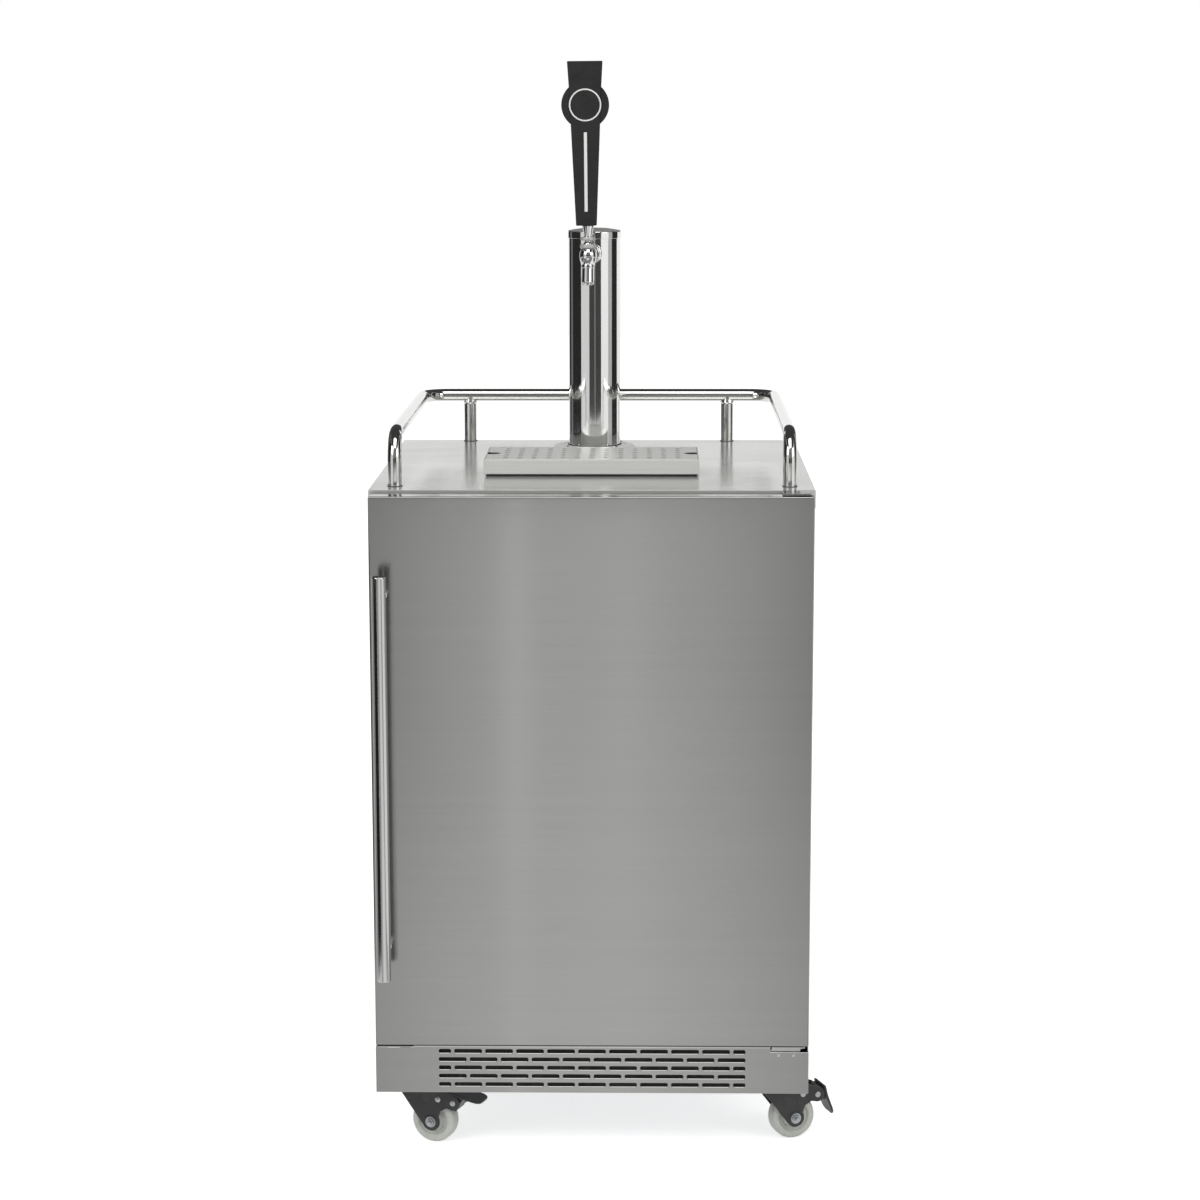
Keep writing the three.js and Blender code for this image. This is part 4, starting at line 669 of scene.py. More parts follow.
# Operators, one for each piece or group of like pieces
class CabinetBody(bpy.types.Operator):
    """Outer shell, base pan and the foam between shell and liner"""

    bl_idname = "kegerator.cabinet_body"
    bl_label = "Cabinet body"
    bl_options = {"REGISTER", "UNDO"}

    # Deeper than the rear panel is thick
    rear_zone = 2.5

    # How far the cores stand back from the rear panel, the liner's rounded step and the door's skin
    behind_foam = 0.2
    step_clearance = 2.0
    skin_clearance = 0.3

    # How near to the step's corner its long edge is looked for, and how long it is at least
    near_step = 8
    step_edge = 100
    door_foam_scale = (0.965, 0.89, 0.975, 1)

    def execute(self, context):
        xs, ys, zs = extent("cabinet_shell")
        shell = soften(pulled_forward(cad_copy("cabinet_shell"), ys[1] - self.rear_zone, HEAD_ROOM), 0.45)
        single(shell, "cabinet_wrapper", "cabinet", "side_steel", ["cabinet_shell"])
        single(cad_copy("base_pan", 0.6), "base_tray", "cabinet", "galvanised", ["base_pan"])
        seams = Piece()
        for x in xs:
            side = 1 if x > 0 else -1
            strip = boxed((-0.25, 0.25), (ys[1] - 22, ys[1] - 21), drawn_in(zs, 12), 0.1, 1)
            seams.add(strip, at(x - side * 0.3, 0, 0))
        seams.finish("rear_panel_seams", "cabinet", "side_steel", finish="slot_dark")
        back = ys[1] - HEAD_ROOM - 0.1
        rows = [(x * side, back, z) for z in (380, 620, 870) for x in (286, 95) for side in (-1, 1)]
        screws("rear_panel_screws", "cabinet", rows, (0, 1, 0))
        dress("tower_insulation", "foam")
        self.foam()
        return {"FINISHED"}

    def foam(self):
        """Foam cores, cut back where the liners round over them and where the rear panel sits."""
        rear = extent("cabinet_foam")[1][1]
        core = pulled_forward(cad_copy("cabinet_foam"), rear - 0.5, HEAD_ROOM + self.behind_foam)
        step = [
            edge for edge in core.edges
            if edge.calc_length() > self.step_edge and all(
                max(abs(vert.co.y - STEP_FRONT), abs(vert.co.z - STEP_TOP)) < self.near_step for vert in edge.verts
            )
        ]
        bevelled(core, step, sizes().liner_corner + self.step_clearance, 5)
        single(core, "cabinet_core", "cabinet", "foam", ["cabinet_foam"])
        skin = extent("door_foam")[1][0]
        core = cad_copy("door_foam")
        core.transform(at(*DOOR_CENTRE) @ Matrix.Diagonal(self.door_foam_scale) @ at(*DOOR_CENTRE).inverted())
        shift = skin + self.skin_clearance - min(vert.co.y for vert in core.verts)
        core.transform(at(0, shift, 0))
        single(core, "door_core", "door", "foam", ["door_foam"])


class Worktop(bpy.types.Operator):
    """Folded worktop that caps the cabinet"""

    bl_idname = "kegerator.worktop"
    bl_label = "Worktop"
    bl_options = {"REGISTER", "UNDO"}

    def execute(self, context):
        part = soften(cad_copy("worktop"), sizes().sheet_edge, 3, 60)
        single(part, "worktop_sheet", "cabinet", "worktop_steel", ["worktop"])
        return {"FINISHED"}


class GuardRail(bpy.types.Operator):
    """Bent guard rail with its two rear posts and the washers under its feet"""

    bl_idname = "kegerator.guard_rail"
    bl_label = "Guard rail"
    bl_options = {"REGISTER", "UNDO"}

    bend = 38.0
    tube_radius = 9.5
    rear_post = 198.0

    def execute(self, context):
        xs, ys, zs = extent("guard_rail")
        half, radius = xs[1] - self.tube_radius, self.tube_radius
        front, back = ys[0] + radius, ys[1] - radius
        foot, top = zs[0], zs[1] - radius
        rail = Piece().add(piped([
            (-half, front, foot), (-half, front, top), (-half, back, top),
            (half, back, top), (half, front, top), (half, front, foot),
        ], radius, self.bend, sides=ROUND, bend_steps=14))
        feet = Piece()
        for x in (-self.rear_post, self.rear_post):
            rail.add(rod(radius, foot, top, ROUND), at(x, back, 0))
            saddle = spun([
                (radius, top - radius - 3.2), (radius + 1.1, top - radius - 1.2), (radius + 0.2, top - radius + 3),
                (radius - 2, top - radius + 3), (radius - 2, top - radius - 3.2),
            ], ROUND, closed=True)
            rail.add(saddle, at(x, back, 0))
            feet.add(self.foot_ring(foot), at(x, back, 0))
        for x in (-half, half):
            feet.add(self.foot_ring(foot), at(x, front, 0))
        rail.finish("guard_rail_tube", "cabinet", "rail_steel", ["guard_rail"])
        feet.finish("rail_foot_washers", "cabinet", "gasket_rubber")
        return {"FINISHED"}

    def foot_ring(self, foot):
        return washer(self.tube_radius - 1, self.tube_radius + 0.9, foot - 0.25, foot + 0.5)


class KickPlate(bpy.types.Operator):
    """Slotted kick plate with folded edges"""

    bl_idname = "kegerator.kick_plate"
    bl_label = "Kick plate"
    bl_options = {"REGISTER", "UNDO"}

    slot_length = 38.2
    slot_height = 5.6
    slot_gap = 4.55
    row_pitch = 11.9
    rows = 5
    in_long_row = 10
    field_centre = 125.7
    thickness = 1.5
    notch_left = 245.7
    notch_drop = 6.5
    spare_notch_right = -246.0
    spare_drop = 1.0
    lip_top = 157.35

    def slot_row(self, row):
        """Middle and length of each slot in a row."""
        pitch = self.slot_length + self.slot_gap
        field = self.in_long_row * pitch - self.slot_gap
        start = -field / 2 + self.slot_length / 2
        if row % 2:
            return [(start + i * pitch, self.slot_length) for i in range(self.in_long_row)]
        short = (self.slot_length - self.slot_gap) / 2
        shift = short + self.slot_gap
        full = [(start + shift + i * pitch, self.slot_length) for i in range(self.in_long_row - 1)]
        return full + [(side * (field - short) / 2, short) for side in (-1, 1)]

    def execute(self, context):
        xs, ys, zs = extent("kick_plate")
        part = bmesh.new()
        edges = outlined(part, [
            (xs[0], zs[0]), (xs[1], zs[0]), (xs[1], zs[1] - self.notch_drop),
            (self.notch_left, zs[1] - self.notch_drop), (self.notch_left, zs[1]),
            (self.spare_notch_right, zs[1]), (self.spare_notch_right, zs[1] - self.spare_drop),
            (xs[0], zs[1] - self.spare_drop),
        ])
        for row in range(self.rows):
            z = self.field_centre + (row - (self.rows - 1) / 2) * self.row_pitch
            for x, length in self.slot_row(row):
                edges += rim(part, (length, self.slot_height), self.slot_height / 2 - 0.01, (x, z))
        face = plate(part, edges, self.thickness, 0.35)
        kick = Piece().add(face, at(0, ys[0], 0) @ UPRIGHT)
        inner = self.thickness
        for x in xs:
            span = (x - inner, x) if x > 0 else (x, x + inner)
            top = zs[1] - (self.notch_drop if x > 0 else self.spare_drop)
            kick.add(boxed(span, (ys[0] + 0.4, ys[1]), (zs[0], top), 0.3))
        high_run = (self.spare_notch_right, self.notch_left)
        low_run = (xs[0] + 2, self.spare_notch_right)
        kick.add(boxed(high_run, (ys[0] + 0.4, ys[1]), (zs[1] - inner, zs[1]), 0.3))
        kick.finish("kick_plate_grille", "cabinet", "door_steel", ["kick_plate"])
        lip = Piece()
        for span, drop in ((high_run, 0.0), (low_run, 0.9)):
            lip.add(boxed(span, (ys[0] + 0.15, ys[0] + 1.2), (zs[1] - 3, self.lip_top - drop), 0.06))
        lip.finish("door_gap_lip", "cabinet", "door_steel")
        # Painted shade: a near-black sheet behind the slots that stands in for the dark machine space seen through
        # them
        shade_backing = boxed(drawn_in(xs, 60), (ys[0] + 9, ys[0] + 9.6), (zs[0] + 1.5, zs[1] - 2), 0.2, 1)
        single(shade_backing, "grille_painted_shade_backing", "cabinet", "fan_black", finish="slot_dark")
        return {"FINISHED"}


class Hinges(bpy.types.Operator):
    """Hinge brackets with their pins and screws"""

    bl_idname = "kegerator.hinges"
    bl_label = "Hinges"
    bl_options = {"REGISTER", "UNDO"}

    rivet_places = (257.0, 277.5)
    rivet_height = 145.0

    def execute(self, context):
        for name in ("hinge_bracket_bottom", "hinge_bracket_top"):
            single(cad_copy(name, 0.3), name + "_plate", "cabinet", "bracket_steel", [name])
        xs, ys, zs = extent("hinge_bracket_top")
        heads = [(x, middle(ys), zs[1] - 0.2) for x in (xs[0] + 9, xs[0] + 21)]
        screws("top_hinge_screws", "cabinet", heads, (0, 0, 1))
        front = extent("kick_plate")[1][0]
        rivets = Piece()
        for x in self.rivet_places:
            dome = spun([(0, 0), (2, 0), (1.9, 0.4), (1.2, 0.9), (0, 1.1)], COARSE)
            rivets.add(dome, at(x, front + 0.1, self.rivet_height) @ TO_VIEWER)
        rivets.finish("bottom_hinge_rivets", "cabinet", "bracket_steel")
        return {"FINISHED"}


class Door(bpy.types.Operator):
    """Door skin, inner panel and magnetic gasket"""

    bl_idname = "kegerator.door"
    bl_label = "Door"
    bl_options = {"REGISTER", "UNDO"}

    def execute(self, context):
        self.skin()
        self.panel()
        self.gasket()
        return {"FINISHED"}

    def skin(self):
        xs, ys, zs = extent("door_skin")
        part = boxed(xs, ys, zs)
        rear = [face for face in part.faces if face.normal.y > 0.9]
        bmesh.ops.delete(part, geom=rear, context="FACES_ONLY")
        folds = [edge for edge in part.edges if len(edge.link_faces) == 2]
        bevelled(part, folds, sizes().door_edge, 4)
        bmesh.ops.recalc_face_normals(part, faces=part.faces)
        inside = Vector((0, middle(ys), middle(zs)))
        if sum(face.normal.dot(face.calc_center_median() - inside) for face in part.faces) < 0:
            bmesh.ops.reverse_faces(part, faces=part.faces)
        bmesh.ops.solidify(part, geom=part.faces[:], thickness=1.0)
        single(part, "door_front", "door", "door_steel", ["door_skin"])

    def panel(self):
        xs, ys, zs = extent("door_liner")
        size, centre = flat_box(xs, zs)
        raised = (500.0, 637.5)
        depth = width_of(ys)
        lip, pan = 2.0, 6.0
        rings = [
            (lip, -4, 24), (lip + 1.2, -1, 23), (depth - 4, 3, 21), (depth - 1.2, 6, 20), (depth, 11, 18),
            (depth, 60, 14), (depth - pan + 1.5, 64, 13), (depth - pan, 70, 12), (depth - pan, 82, 8),
        ]
        part = lofted([
            (0, size, 1.0, centre), (lip, size, 1.0, centre),
            *((height, reduced(raised, inset), radius, DOOR_CENTRE[::2]) for height, inset, radius in rings),
        ], corner_steps=6)
        single(part, "door_inner_panel", "door", "liner_white", ["door_liner"], at(0, ys[0], 0) @ INWARD)

    def gasket(self):
        xs, ys, zs = extent("door_gasket")
        depth = width_of(ys)
        size, centre = flat_box(xs, zs)
        band = 28.0
        rings = [
            (0, 3), (0.8, 1), (1.6, 0.4), (2.1, 2.2), (2.7, 0.2), (depth - 0.8, 0), (depth, 1.2),
            (depth, band - 2), (depth - 0.9, band), (2.7, band), (2.1, band - 2.4), (1.5, band), (0, band - 3),
        ]
        part = lofted([(height, reduced(size, inset), 3.0, centre) for height, inset in rings], closed=True)
        single(part, "door_seal", "door", "gasket_rubber", ["door_gasket"], at(0, ys[0], 0) @ INWARD)


class DoorHandle(bpy.types.Operator):
    """Bar handle on two posts"""

    bl_idname = "kegerator.door_handle"
    bl_label = "Door handle"
    bl_options = {"REGISTER", "UNDO"}

    def execute(self, context):
        xs, ys, zs = extent("door_handle_bar")
        radius = width_of(xs) / 2
        bar = spun([
            (0, zs[0]), (radius - 2, zs[0]), (radius - 0.8, zs[0] + 0.25), (radius - 0.2, zs[0] + 0.9),
            (radius, zs[0] + 1.8), (radius, zs[1] - 1.8), (radius - 0.2, zs[1] - 0.9),
            (radius - 0.8, zs[1] - 0.25), (radius - 2, zs[1]), (0, zs[1]),
        ], FINE)
        single(bar, "handle_bar", "door", "handle_steel", ["door_handle_bar"], at(middle(xs), middle(ys), 0))
        for end in ("upper", "lower"):
            node = f"door_handle_post_{end}"
            px, py, pz = extent(node)
            thick, reach = width_of(px) / 2, width_of(py)
            post = spun([
                (0, 0), (thick, 0), (thick, 1.2), (thick - 0.9, 1.8), (thick - 0.9, reach - 4),
                (thick, reach - 2.5), (thick, reach + 1.5), (0, reach + 1.5),
            ], ROUND)
            place = at(middle(px), py[1], middle(pz)) @ TO_VIEWER
            single(post, f"handle_post_{end}", "door", "handle_steel", [node], place)
        return {"FINISHED"}


# The tower's own frame, with the tap on its local front side
TOWER_TURN = -4.9
COLUMN_X, COLUMN_Y, COLUMN_Z = extent("tower_column")
TOWER = at(middle(COLUMN_X), middle(COLUMN_Y), 0) @ turned(TOWER_TURN)
COLUMN_RADIUS = 38.1
COLUMN_WALL = 1.5
TAP_REACH = 88.0
SHANK_Z = 1222.9
PIVOT_Z = 1236.9


class Tower(bpy.types.Operator):
    """Base flange, foot ring, column and cap"""

    bl_idname = "kegerator.tower"
    bl_label = "Tower"
    bl_options = {"REGISTER", "UNDO"}

    def execute(self, context):
        radius = COLUMN_RADIUS
        low, high = extent("tower_flange")[2]
        edge = width_of(extent("tower_flange")[0]) / 2
        flange = spun([
            (25, low), (edge - 0.6, low), (edge, low + 0.6), (edge, low + 7.2),
            *arc((edge - 7, high - 7.6), 7, 10, 85, 5), (edge - 9, high - 0.3), (edge - 12, high), (25, high),
        ], FINE, closed=True)
        single(flange, "tower_base", "cabinet", "tower_steel", ["tower_flange"], TOWER, finish="tray_steel")
        seal = washer(edge - 3, edge + 1, low, low + 1.1, FINE)
        single(seal, "tower_base_seal", "cabinet", "gasket_rubber", (), TOWER)
        heads = [TOWER @ Vector((x, y, high - 0.2)) for x, y in arc((0, 0), 49, 45, 315, 3)]
        screws("tower_base_screws", "cabinet", heads, (0, 0, 1), "chrome")
        low, high = extent("column_foot_ring")[2]
        ring = spun([
            (radius + 0.1, low - 0.2), (radius + 1.4, low - 0.2), (radius + 1.5, low + 0.4),
            (radius + 1.1, low + 0.9), (radius + 0.1, low + 1.1),
        ], FINE, closed=True)
        single(ring, "column_foot_seal", "cabinet", "gasket_rubber", ["column_foot_ring"], TOWER)
        column = washer(radius - COLUMN_WALL, radius, *COLUMN_Z, FINE)
        single(column, "column_tube", "cabinet", "tower_steel", ["tower_column"], TOWER)
        low, high = extent("tower_cap")[2]
        rim_radius = radius + 1.2
        lid = high - 2.4
        cap = spun([
            (0, lid - 2), (radius + 0.1, lid - 2), (radius + 0.1, low + 0.4), (radius + 0.3, low),
            (rim_radius - 0.3, low), (rim_radius, low + 0.4), (rim_radius, lid - 1.6), (rim_radius - 0.5, lid - 0.5),
            (rim_radius - 1.6, lid + 0.1), (0, lid + 0.1),
        ], FINE)
        single(cap, "column_cap", "cabinet", "tower_steel", ["tower_cap"], TOWER)
        dome = spun([
            (0, lid - 0.5), (rim_radius - 1.2, lid - 0.5), (rim_radius - 1.2, lid + 0.3),
            (radius * 0.82, lid + 1.7), (radius * 0.5, lid + 3.4), (0, high + 2),
        ], FINE)
        single(dome, "column_cap_dome", "cabinet", "tower_steel", (), TOWER, finish="ring_satin")
        dress("beer_line", "clear_hose")
        dress("shank", "chrome")
        return {"FINISHED"}


class Faucet(bpy.types.Operator):
    """Shank flange, coupling nut, faucet body, bonnet and lever"""

    bl_idname = "kegerator.faucet"
    bl_label = "Faucet"
    bl_options = {"REGISTER", "UNDO"}

    def execute(self, context):
        dress("faucet_plunger", "chrome")
        front = TOWER @ at(0, 0, SHANK_Z) @ TO_VIEWER
        radius = COLUMN_RADIUS
        escutcheon = spun([
            (11.3, radius - 3), (14.2, radius - 3), (15, radius - 2.2), (15, radius + 2.4), (14.6, radius + 3.4),
            (13.4, radius + 4.4), (11.9, radius + 5), (11.3, radius + 5),
        ], FINE, closed=True)
        single(escutcheon, "shank_collar", "cabinet", "chrome", ["shank_flange"], front)
        self.nut(front)
        self.body(front)
        pivot = TOWER @ at(0, -TAP_REACH, PIVOT_Z)
        bonnet = spun([
            (7.8, -3.6), (11, -3.6), (11.5, -3.1), (11.6, -2.2), (11.6, 0.6), (11.3, 1.4), (10.6, 2), (7.8, 2),
        ], ROUND, closed=True)
        single(bonnet, "bonnet_ring", "cabinet", "chrome", ["faucet_bonnet"], pivot, finish="ring_satin")
        ring = spun([
            (7, 7.2), (10.2, 7.2), (10.8, 8), (10.8, 11), (10.2, 11.8), (7, 12.3),
        ], ROUND, closed=True)
        single(ring, "lever_ring", "tap_lever", "chrome", (), pivot, finish="ring_satin")
        lever = spun([
            (0, -18), (1.6, -18), (1.9, -17.4), (1.9, -7.2), *arc((0, 0), 7.2, -70, 50, 10),
            (4.7, 6), (4.5, 7), (5.2, 7.7), (7.6, 8.2), (7.6, 11.7), (5.9, 12.4), (5.8, 14),
            (8.3, 27), (8.5, 27.8), (8.2, 28.1), (0, 28.1),
        ], ROUND)
        single(lever, "lever_stem", "tap_lever", "chrome", ["faucet_lever"], pivot, smooth_under=50)
        return {"FINISHED"}

    def nut(self, front):
        """Coupling nut with a grooved grip and chamfered ends."""
        part = spun([
            (11.3, 47), (13, 47), (14, 48), (14.2, 49), (14.2, 62), (14, 63), (13, 64), (9.7, 64),
            (9.7, 63.2), (11.3, 62.8),
        ], ROUND, closed=True)
        nut = Piece(front).add(part)
        for i in range(6):
            rib = boxed((12.6, 14.15), (-3.2, 3.2), (49.5, 61.5), 0.5)
            nut.add(rib, turned(60 * i))
        nut.finish("faucet_coupling_nut", "cabinet", "chrome", ["coupling_nut"], smooth_under=50)

    def body(self, front):
        shank = TOWER @ at(0, -TAP_REACH, SHANK_Z)
        body = Piece()
        body.add(spun([
            (7, 60), (10.6, 60), (10.8, 60.4), (10.8, 62.6), (10.4, 63), (9.4, 63.3), (9.4, 74), (9.8, 75.5),
            (9.8, 92), (9.5, 94.5), (8.6, 96.8), (7, 98.3), (5.6, 98.9), (0, 99),
        ], ROUND), front)
        body.add(spun([
            (0, -15.8), (8.6, -15.8), (9.4, -14.5), (10.9, -9.5), (12.1, -4.5), (12.6, 0),
            (12.2, 3.2), (11.2, 6.2), (9.7, 8.7), (9.3, 10), (7.8, 10), (7.8, 4), (0, 4),
        ], ROUND), shank)
        spout = shank @ turned(-8, "X") @ turned(180, "X")
        nozzle = spun([
            (6.4, 14), (9.2, 14), (9.4, 15), (9.3, 17.5), (8.8, 18.6), (8.6, 20), (8.7, 30), (8.9, 40),
            (8.8, 40.9), (8.2, 41.3), (7.2, 41.2), (6.8, 40.6), (6.4, 38),
        ], ROUND, closed=True)
        for vert in nozzle.verts:
            if vert.co.z > 37:
                vert.co.z -= 0.22 * vert.co.y
        body.add(nozzle, spout)
        # Painted shade: a near-black plug in the spout's open end that stands in for the shade down its hollow bore
        bore = rod(6.45, 34, 38.5, ROUND)
        single(bore, "spout_bore_painted_shade", "cabinet", "chrome", (), spout, finish="slot_dark")
        body.finish("faucet_casting", "cabinet", "chrome", ["faucet_body"], smooth_under=50)
        disc = spun([
            (0, 98), (6.6, 98), (6.9, 99.2), (6.6, 99.9), (5.8, 100), (5.6, 99.5), (0, 99.6),
        ], ROUND)
        single(disc, "faucet_front_plug", "cabinet", "chrome", (), front @ at(0, -4.2, 0), finish="plug_satin")


class TapHandle(bpy.types.Operator):
    """Matte tap handle with a plain ring and a plain stripe"""

    bl_idname = "kegerator.tap_handle"
    bl_label = "Tap handle"
    bl_options = {"REGISTER", "UNDO"}

    lean = -0.5
    aside = -2.2
    foot = 1265.3

    def execute(self, context):
        place = TOWER @ at(self.aside, -TAP_REACH, self.foot) @ turned(self.lean, "Y") @ turned(-TOWER_TURN)
        half = 9.5
        waist, top, bottom = (46.3 / 2, 198.0), (50.4 / 2, 232.0), (29.4 / 2, 0.0)
        blade = bmesh.new()
        side = [bottom, waist, top]
        points = side + [(-x, z) for x, z in reversed(side)]
        plate(blade, outlined(blade, points), 2 * half)
        soften(blade, sizes().handle_edge, 3, 30)
        handle = Piece(place).add(blade, at(0, -half, 0) @ UPRIGHT)
        handle.add(rod(34, -8, 8, FINE, edge=1.0), at(0, 0, 170.5) @ TO_VIEWER)
        handle.finish("tap_handle_grip", "tap_lever", "handle_black", ["tap_handle"])
        trim = Piece(place)
        trim.add(washer(21, 23, 9.3, 9.75, FINE), at(0, 0, 170.5) @ TO_VIEWER)
        trim.add(boxed((-2.2, 2.2), (-9.75, -9.3), (20, 132), 0.15))
        trim.finish("tap_handle_inlays", "tap_lever", "handle_black", finish="trim_grey")
        return {"FINISHED"}


class DripTray(bpy.types.Operator):
    """Rubber mat, welded tray and its perforated lift-out grill"""

    bl_idname = "kegerator.drip_tray"
    bl_label = "Drip tray"
    bl_options = {"REGISTER", "UNDO"}

    columns = 13
    rows = 6
    pitch = (20.2, 21.0)
    hole = 8.5
    notch = (18.5, 26.0)

    def execute(self, context):
        xs, ys, zs = extent("drip_tray_mat")
        size, centre = flat_box(xs, ys)
        mat = lofted([
            (zs[0], size, 3, centre), (zs[1] - 0.7, size, 3, centre), (zs[1], reduced(size, 1.4), 2.3, centre),
        ])
        single(mat, "tray_mat", "cabinet", "gasket_rubber", ["drip_tray_mat"])
        self.tray()
        self.grill()
        return {"FINISHED"}

    def tray(self):
        xs, ys, zs = extent("drip_tray")
        size, centre = flat_box(xs, ys)
        wall, low, high = 1.2, *zs
        rings = [
            (low, 2.4, 1.0), (low + 0.5, 0.6, 1.4), (low + 1.3, 0, 1.6), (high - 0.4, 0, 1.6), (high, 0.7, 1.4),
            (high, 2 * wall - 0.7, 1.0), (high - 0.4, 2 * wall, 0.8), (low + wall + 0.8, 2 * wall, 0.8),
            (low + wall, 2 * wall + 1.6, 0.6),
        ]
        part = lofted([(height, reduced(size, inset), radius, centre) for height, inset, radius in rings])
        single(part, "tray_pan", "drip_tray", "tray_steel", ["drip_tray"])

    def grill(self):
        xs, ys, zs = extent("drip_tray_grill")
        cx, cy = middle(xs), middle(ys)
        part = bmesh.new()
        deep, wide = self.notch
        half = wide / 2
        right = [
            (xs[1], ys[0]), (xs[1], cy - half), *arc((xs[1] - deep + half, cy), half, 270, 90, 10),
            (xs[1], cy + half), (xs[1], ys[1]),
        ]
        left = [(2 * cx - x, y) for x, y in reversed(right)]
        edges = outlined(part, right + left)
        for column in range(self.columns):
            for row in range(self.rows):
                x = cx + (column - (self.columns - 1) / 2) * self.pitch[0]
                y = cy + (row - (self.rows - 1) / 2) * self.pitch[1]
                edges += rim(part, (self.hole, self.hole), self.hole / 2, (x, y))
        sheet = plate(part, edges, 0.6, 0.12)
        grill = Piece().add(sheet, at(0, 0, zs[1]))
        for y in ys:
            span = (y, y + 1.2) if y < cy else (y - 1.2, y)
            grill.add(boxed(drawn_in(xs, 6), span, (zs[0], zs[1] - 0.3), 0.3))
        grill.finish("tray_grill_sheet", "tray_grill", "tray_steel", ["drip_tray_grill"])


class Casters(bpy.types.Operator):
    """Four swivel casters: plate, fork, wheel and brake lever"""

    bl_idname = "kegerator.casters"
    bl_label = "Casters"
    bl_options = {"REGISTER", "UNDO"}

    headings = {"front_left": -20, "front_right": 20, "rear_left": 160, "rear_right": 170}
    trail = 31.0
    wheel_radius = 31.75
    cheek_inside = 15.0
    cheek_thickness = 2.5
    lever_run = 33.5
    lever_rise = 31.0
    pedal_length = 43.0
    toe_radius = 10.0
    released = 58.0

    def execute(self, context):
        for place, heading in self.headings.items():
            xs, ys, _ = extent(f"caster_plate_{place}")
            own = at(middle(xs), middle(ys), 0) @ turned(heading)
            self.plate(place, at(middle(xs), middle(ys), 0))
            self.fork(place, own)
            self.wheel(place, own)
            self.brake(place, own, 0.0 if place == "front_right" else self.released)
        return {"FINISHED"}

    def plate(self, place, own):
        part = bmesh.new()
        edges = rim(part, (64, 64), 7)
        for x in (-22, 22):
            for y in (-22, 22):
                edges += rim(part, (11, 6.4), 3.19, (x, y))
        top = Piece(own).add(plate(part, edges, 2.5, 0.4), at(0, 0, 104))
        top.add(spun([
            (0, 92.4), (18.6, 92.4), (20, 94), (20, 99.4), (21.5, 101.6), (0, 101.6),
        ], ROUND))
        top.add(rod(6, 86.5, 93, COARSE, 0.4))
        for x in (-22, 22):
            for y in (-22, 22):
                top.add(rod(5.2, 99.3, 101.6, 6, 0.4), at(x, y, 0))
        top.finish(f"caster_top_{place}", "cabinet", "galvanised", [f"caster_plate_{place}"])

    def fork(self, place, own):
        inside, thick = self.cheek_inside, self.cheek_thickness
        outer = inside + thick
        fork = Piece(own)
        metal = Piece(own)
        axle = at(self.trail, 0, self.wheel_radius)
        for side in (-1, 1):
            part = bmesh.new()
            plate(part, outlined(part, self.cheek_outline()), thick)
            soften(part, 0.7, 2, 35)
            face = -outer if side < 0 else inside
            fork.add(part, at(0, face, 0) @ UPRIGHT)
            out = facing((0, side, 0))
            boss = spun([(5, outer), (10.5, outer), (9.5, outer + 0.8), (5, outer + 0.8)], ROUND, closed=True)
            fork.add(boss, axle @ out)
            metal.add(rod(6, outer + 0.8, outer + 5, 6, 0.7), axle @ out)
            metal.add(washer(5, 7.6, outer + 0.6, outer + 1.5), axle @ out)
            metal.add(rod(3.4, outer + 5, outer + 8.4, COARSE, 0.8), axle @ out)
            for x, z in ((11.0, 34.0), (self.lever_run, self.lever_rise)):
                head = spun([
                    (0, outer - 0.4), (4.1, outer - 0.4), (4.1, outer + 0.5), (3.1, outer + 1.3), (0, outer + 1.5),
                ], COARSE)
                metal.add(head, axle @ at(x, 0, z) @ out)
        fork.add(boxed((-26, 30), (-outer, outer), (84, 86.5), 0.9))
        fork.add(spun([
            (6.3, 84), (17, 84), (22.4, 87), (23.5, 88.2), (23.5, 91), (22.6, 92), (6.3, 92),
        ], ROUND, closed=True))
        metal.add(rod(3.6, -outer, outer, COARSE), axle @ facing((0, 1, 0)))
        fork.finish(f"caster_housing_{place}", f"swivel_{place}", "caster_black", [f"caster_fork_{place}"])
        metal.finish(f"caster_fasteners_{place}", f"swivel_{place}", "galvanised")

    def cheek_outline(self):
        axle = (self.trail, self.wheel_radius)
        pin = (axle[0] + self.lever_run, axle[1] + self.lever_rise)
        return [
            (-26, 86.5), *arc(axle, 13, 208, 395, 16),
            (axle[0] + 0.43 * self.lever_run, axle[1] + 0.55 * self.lever_rise),
            (axle[0] + 0.7 * self.lever_run, axle[1] + 0.72 * self.lever_rise),
            *arc(pin, 10.5, -115, 75, 12), (30, 86.5),
        ]

    def wheel(self, place, own):
        half = [
            (4.3, 14.6), (8.6, 14.6), (10, 13.4), (12.6, 8.2), (14, 8), (15, 7.2), (16.2, 7.2), (17, 8),
            (20, 8.2), (22, 10.6), (23, 11), (27.5, 11), (29.6, 10.5), (31, 9), (31.6, 7), (31.75, 5), (31.75, 0.3),
            (31.5, 0),
        ]
        profile = half + [(radius, -height) for radius, height in reversed(half[:-1])]
        part = spun(profile, FINE, closed=True)
        axle = own @ at(self.trail, 0, self.wheel_radius) @ facing((0, 1, 0))
        single(part, f"caster_tyre_{place}", f"wheel_{place}", "wheel_grey", [f"caster_wheel_{place}"], axle)

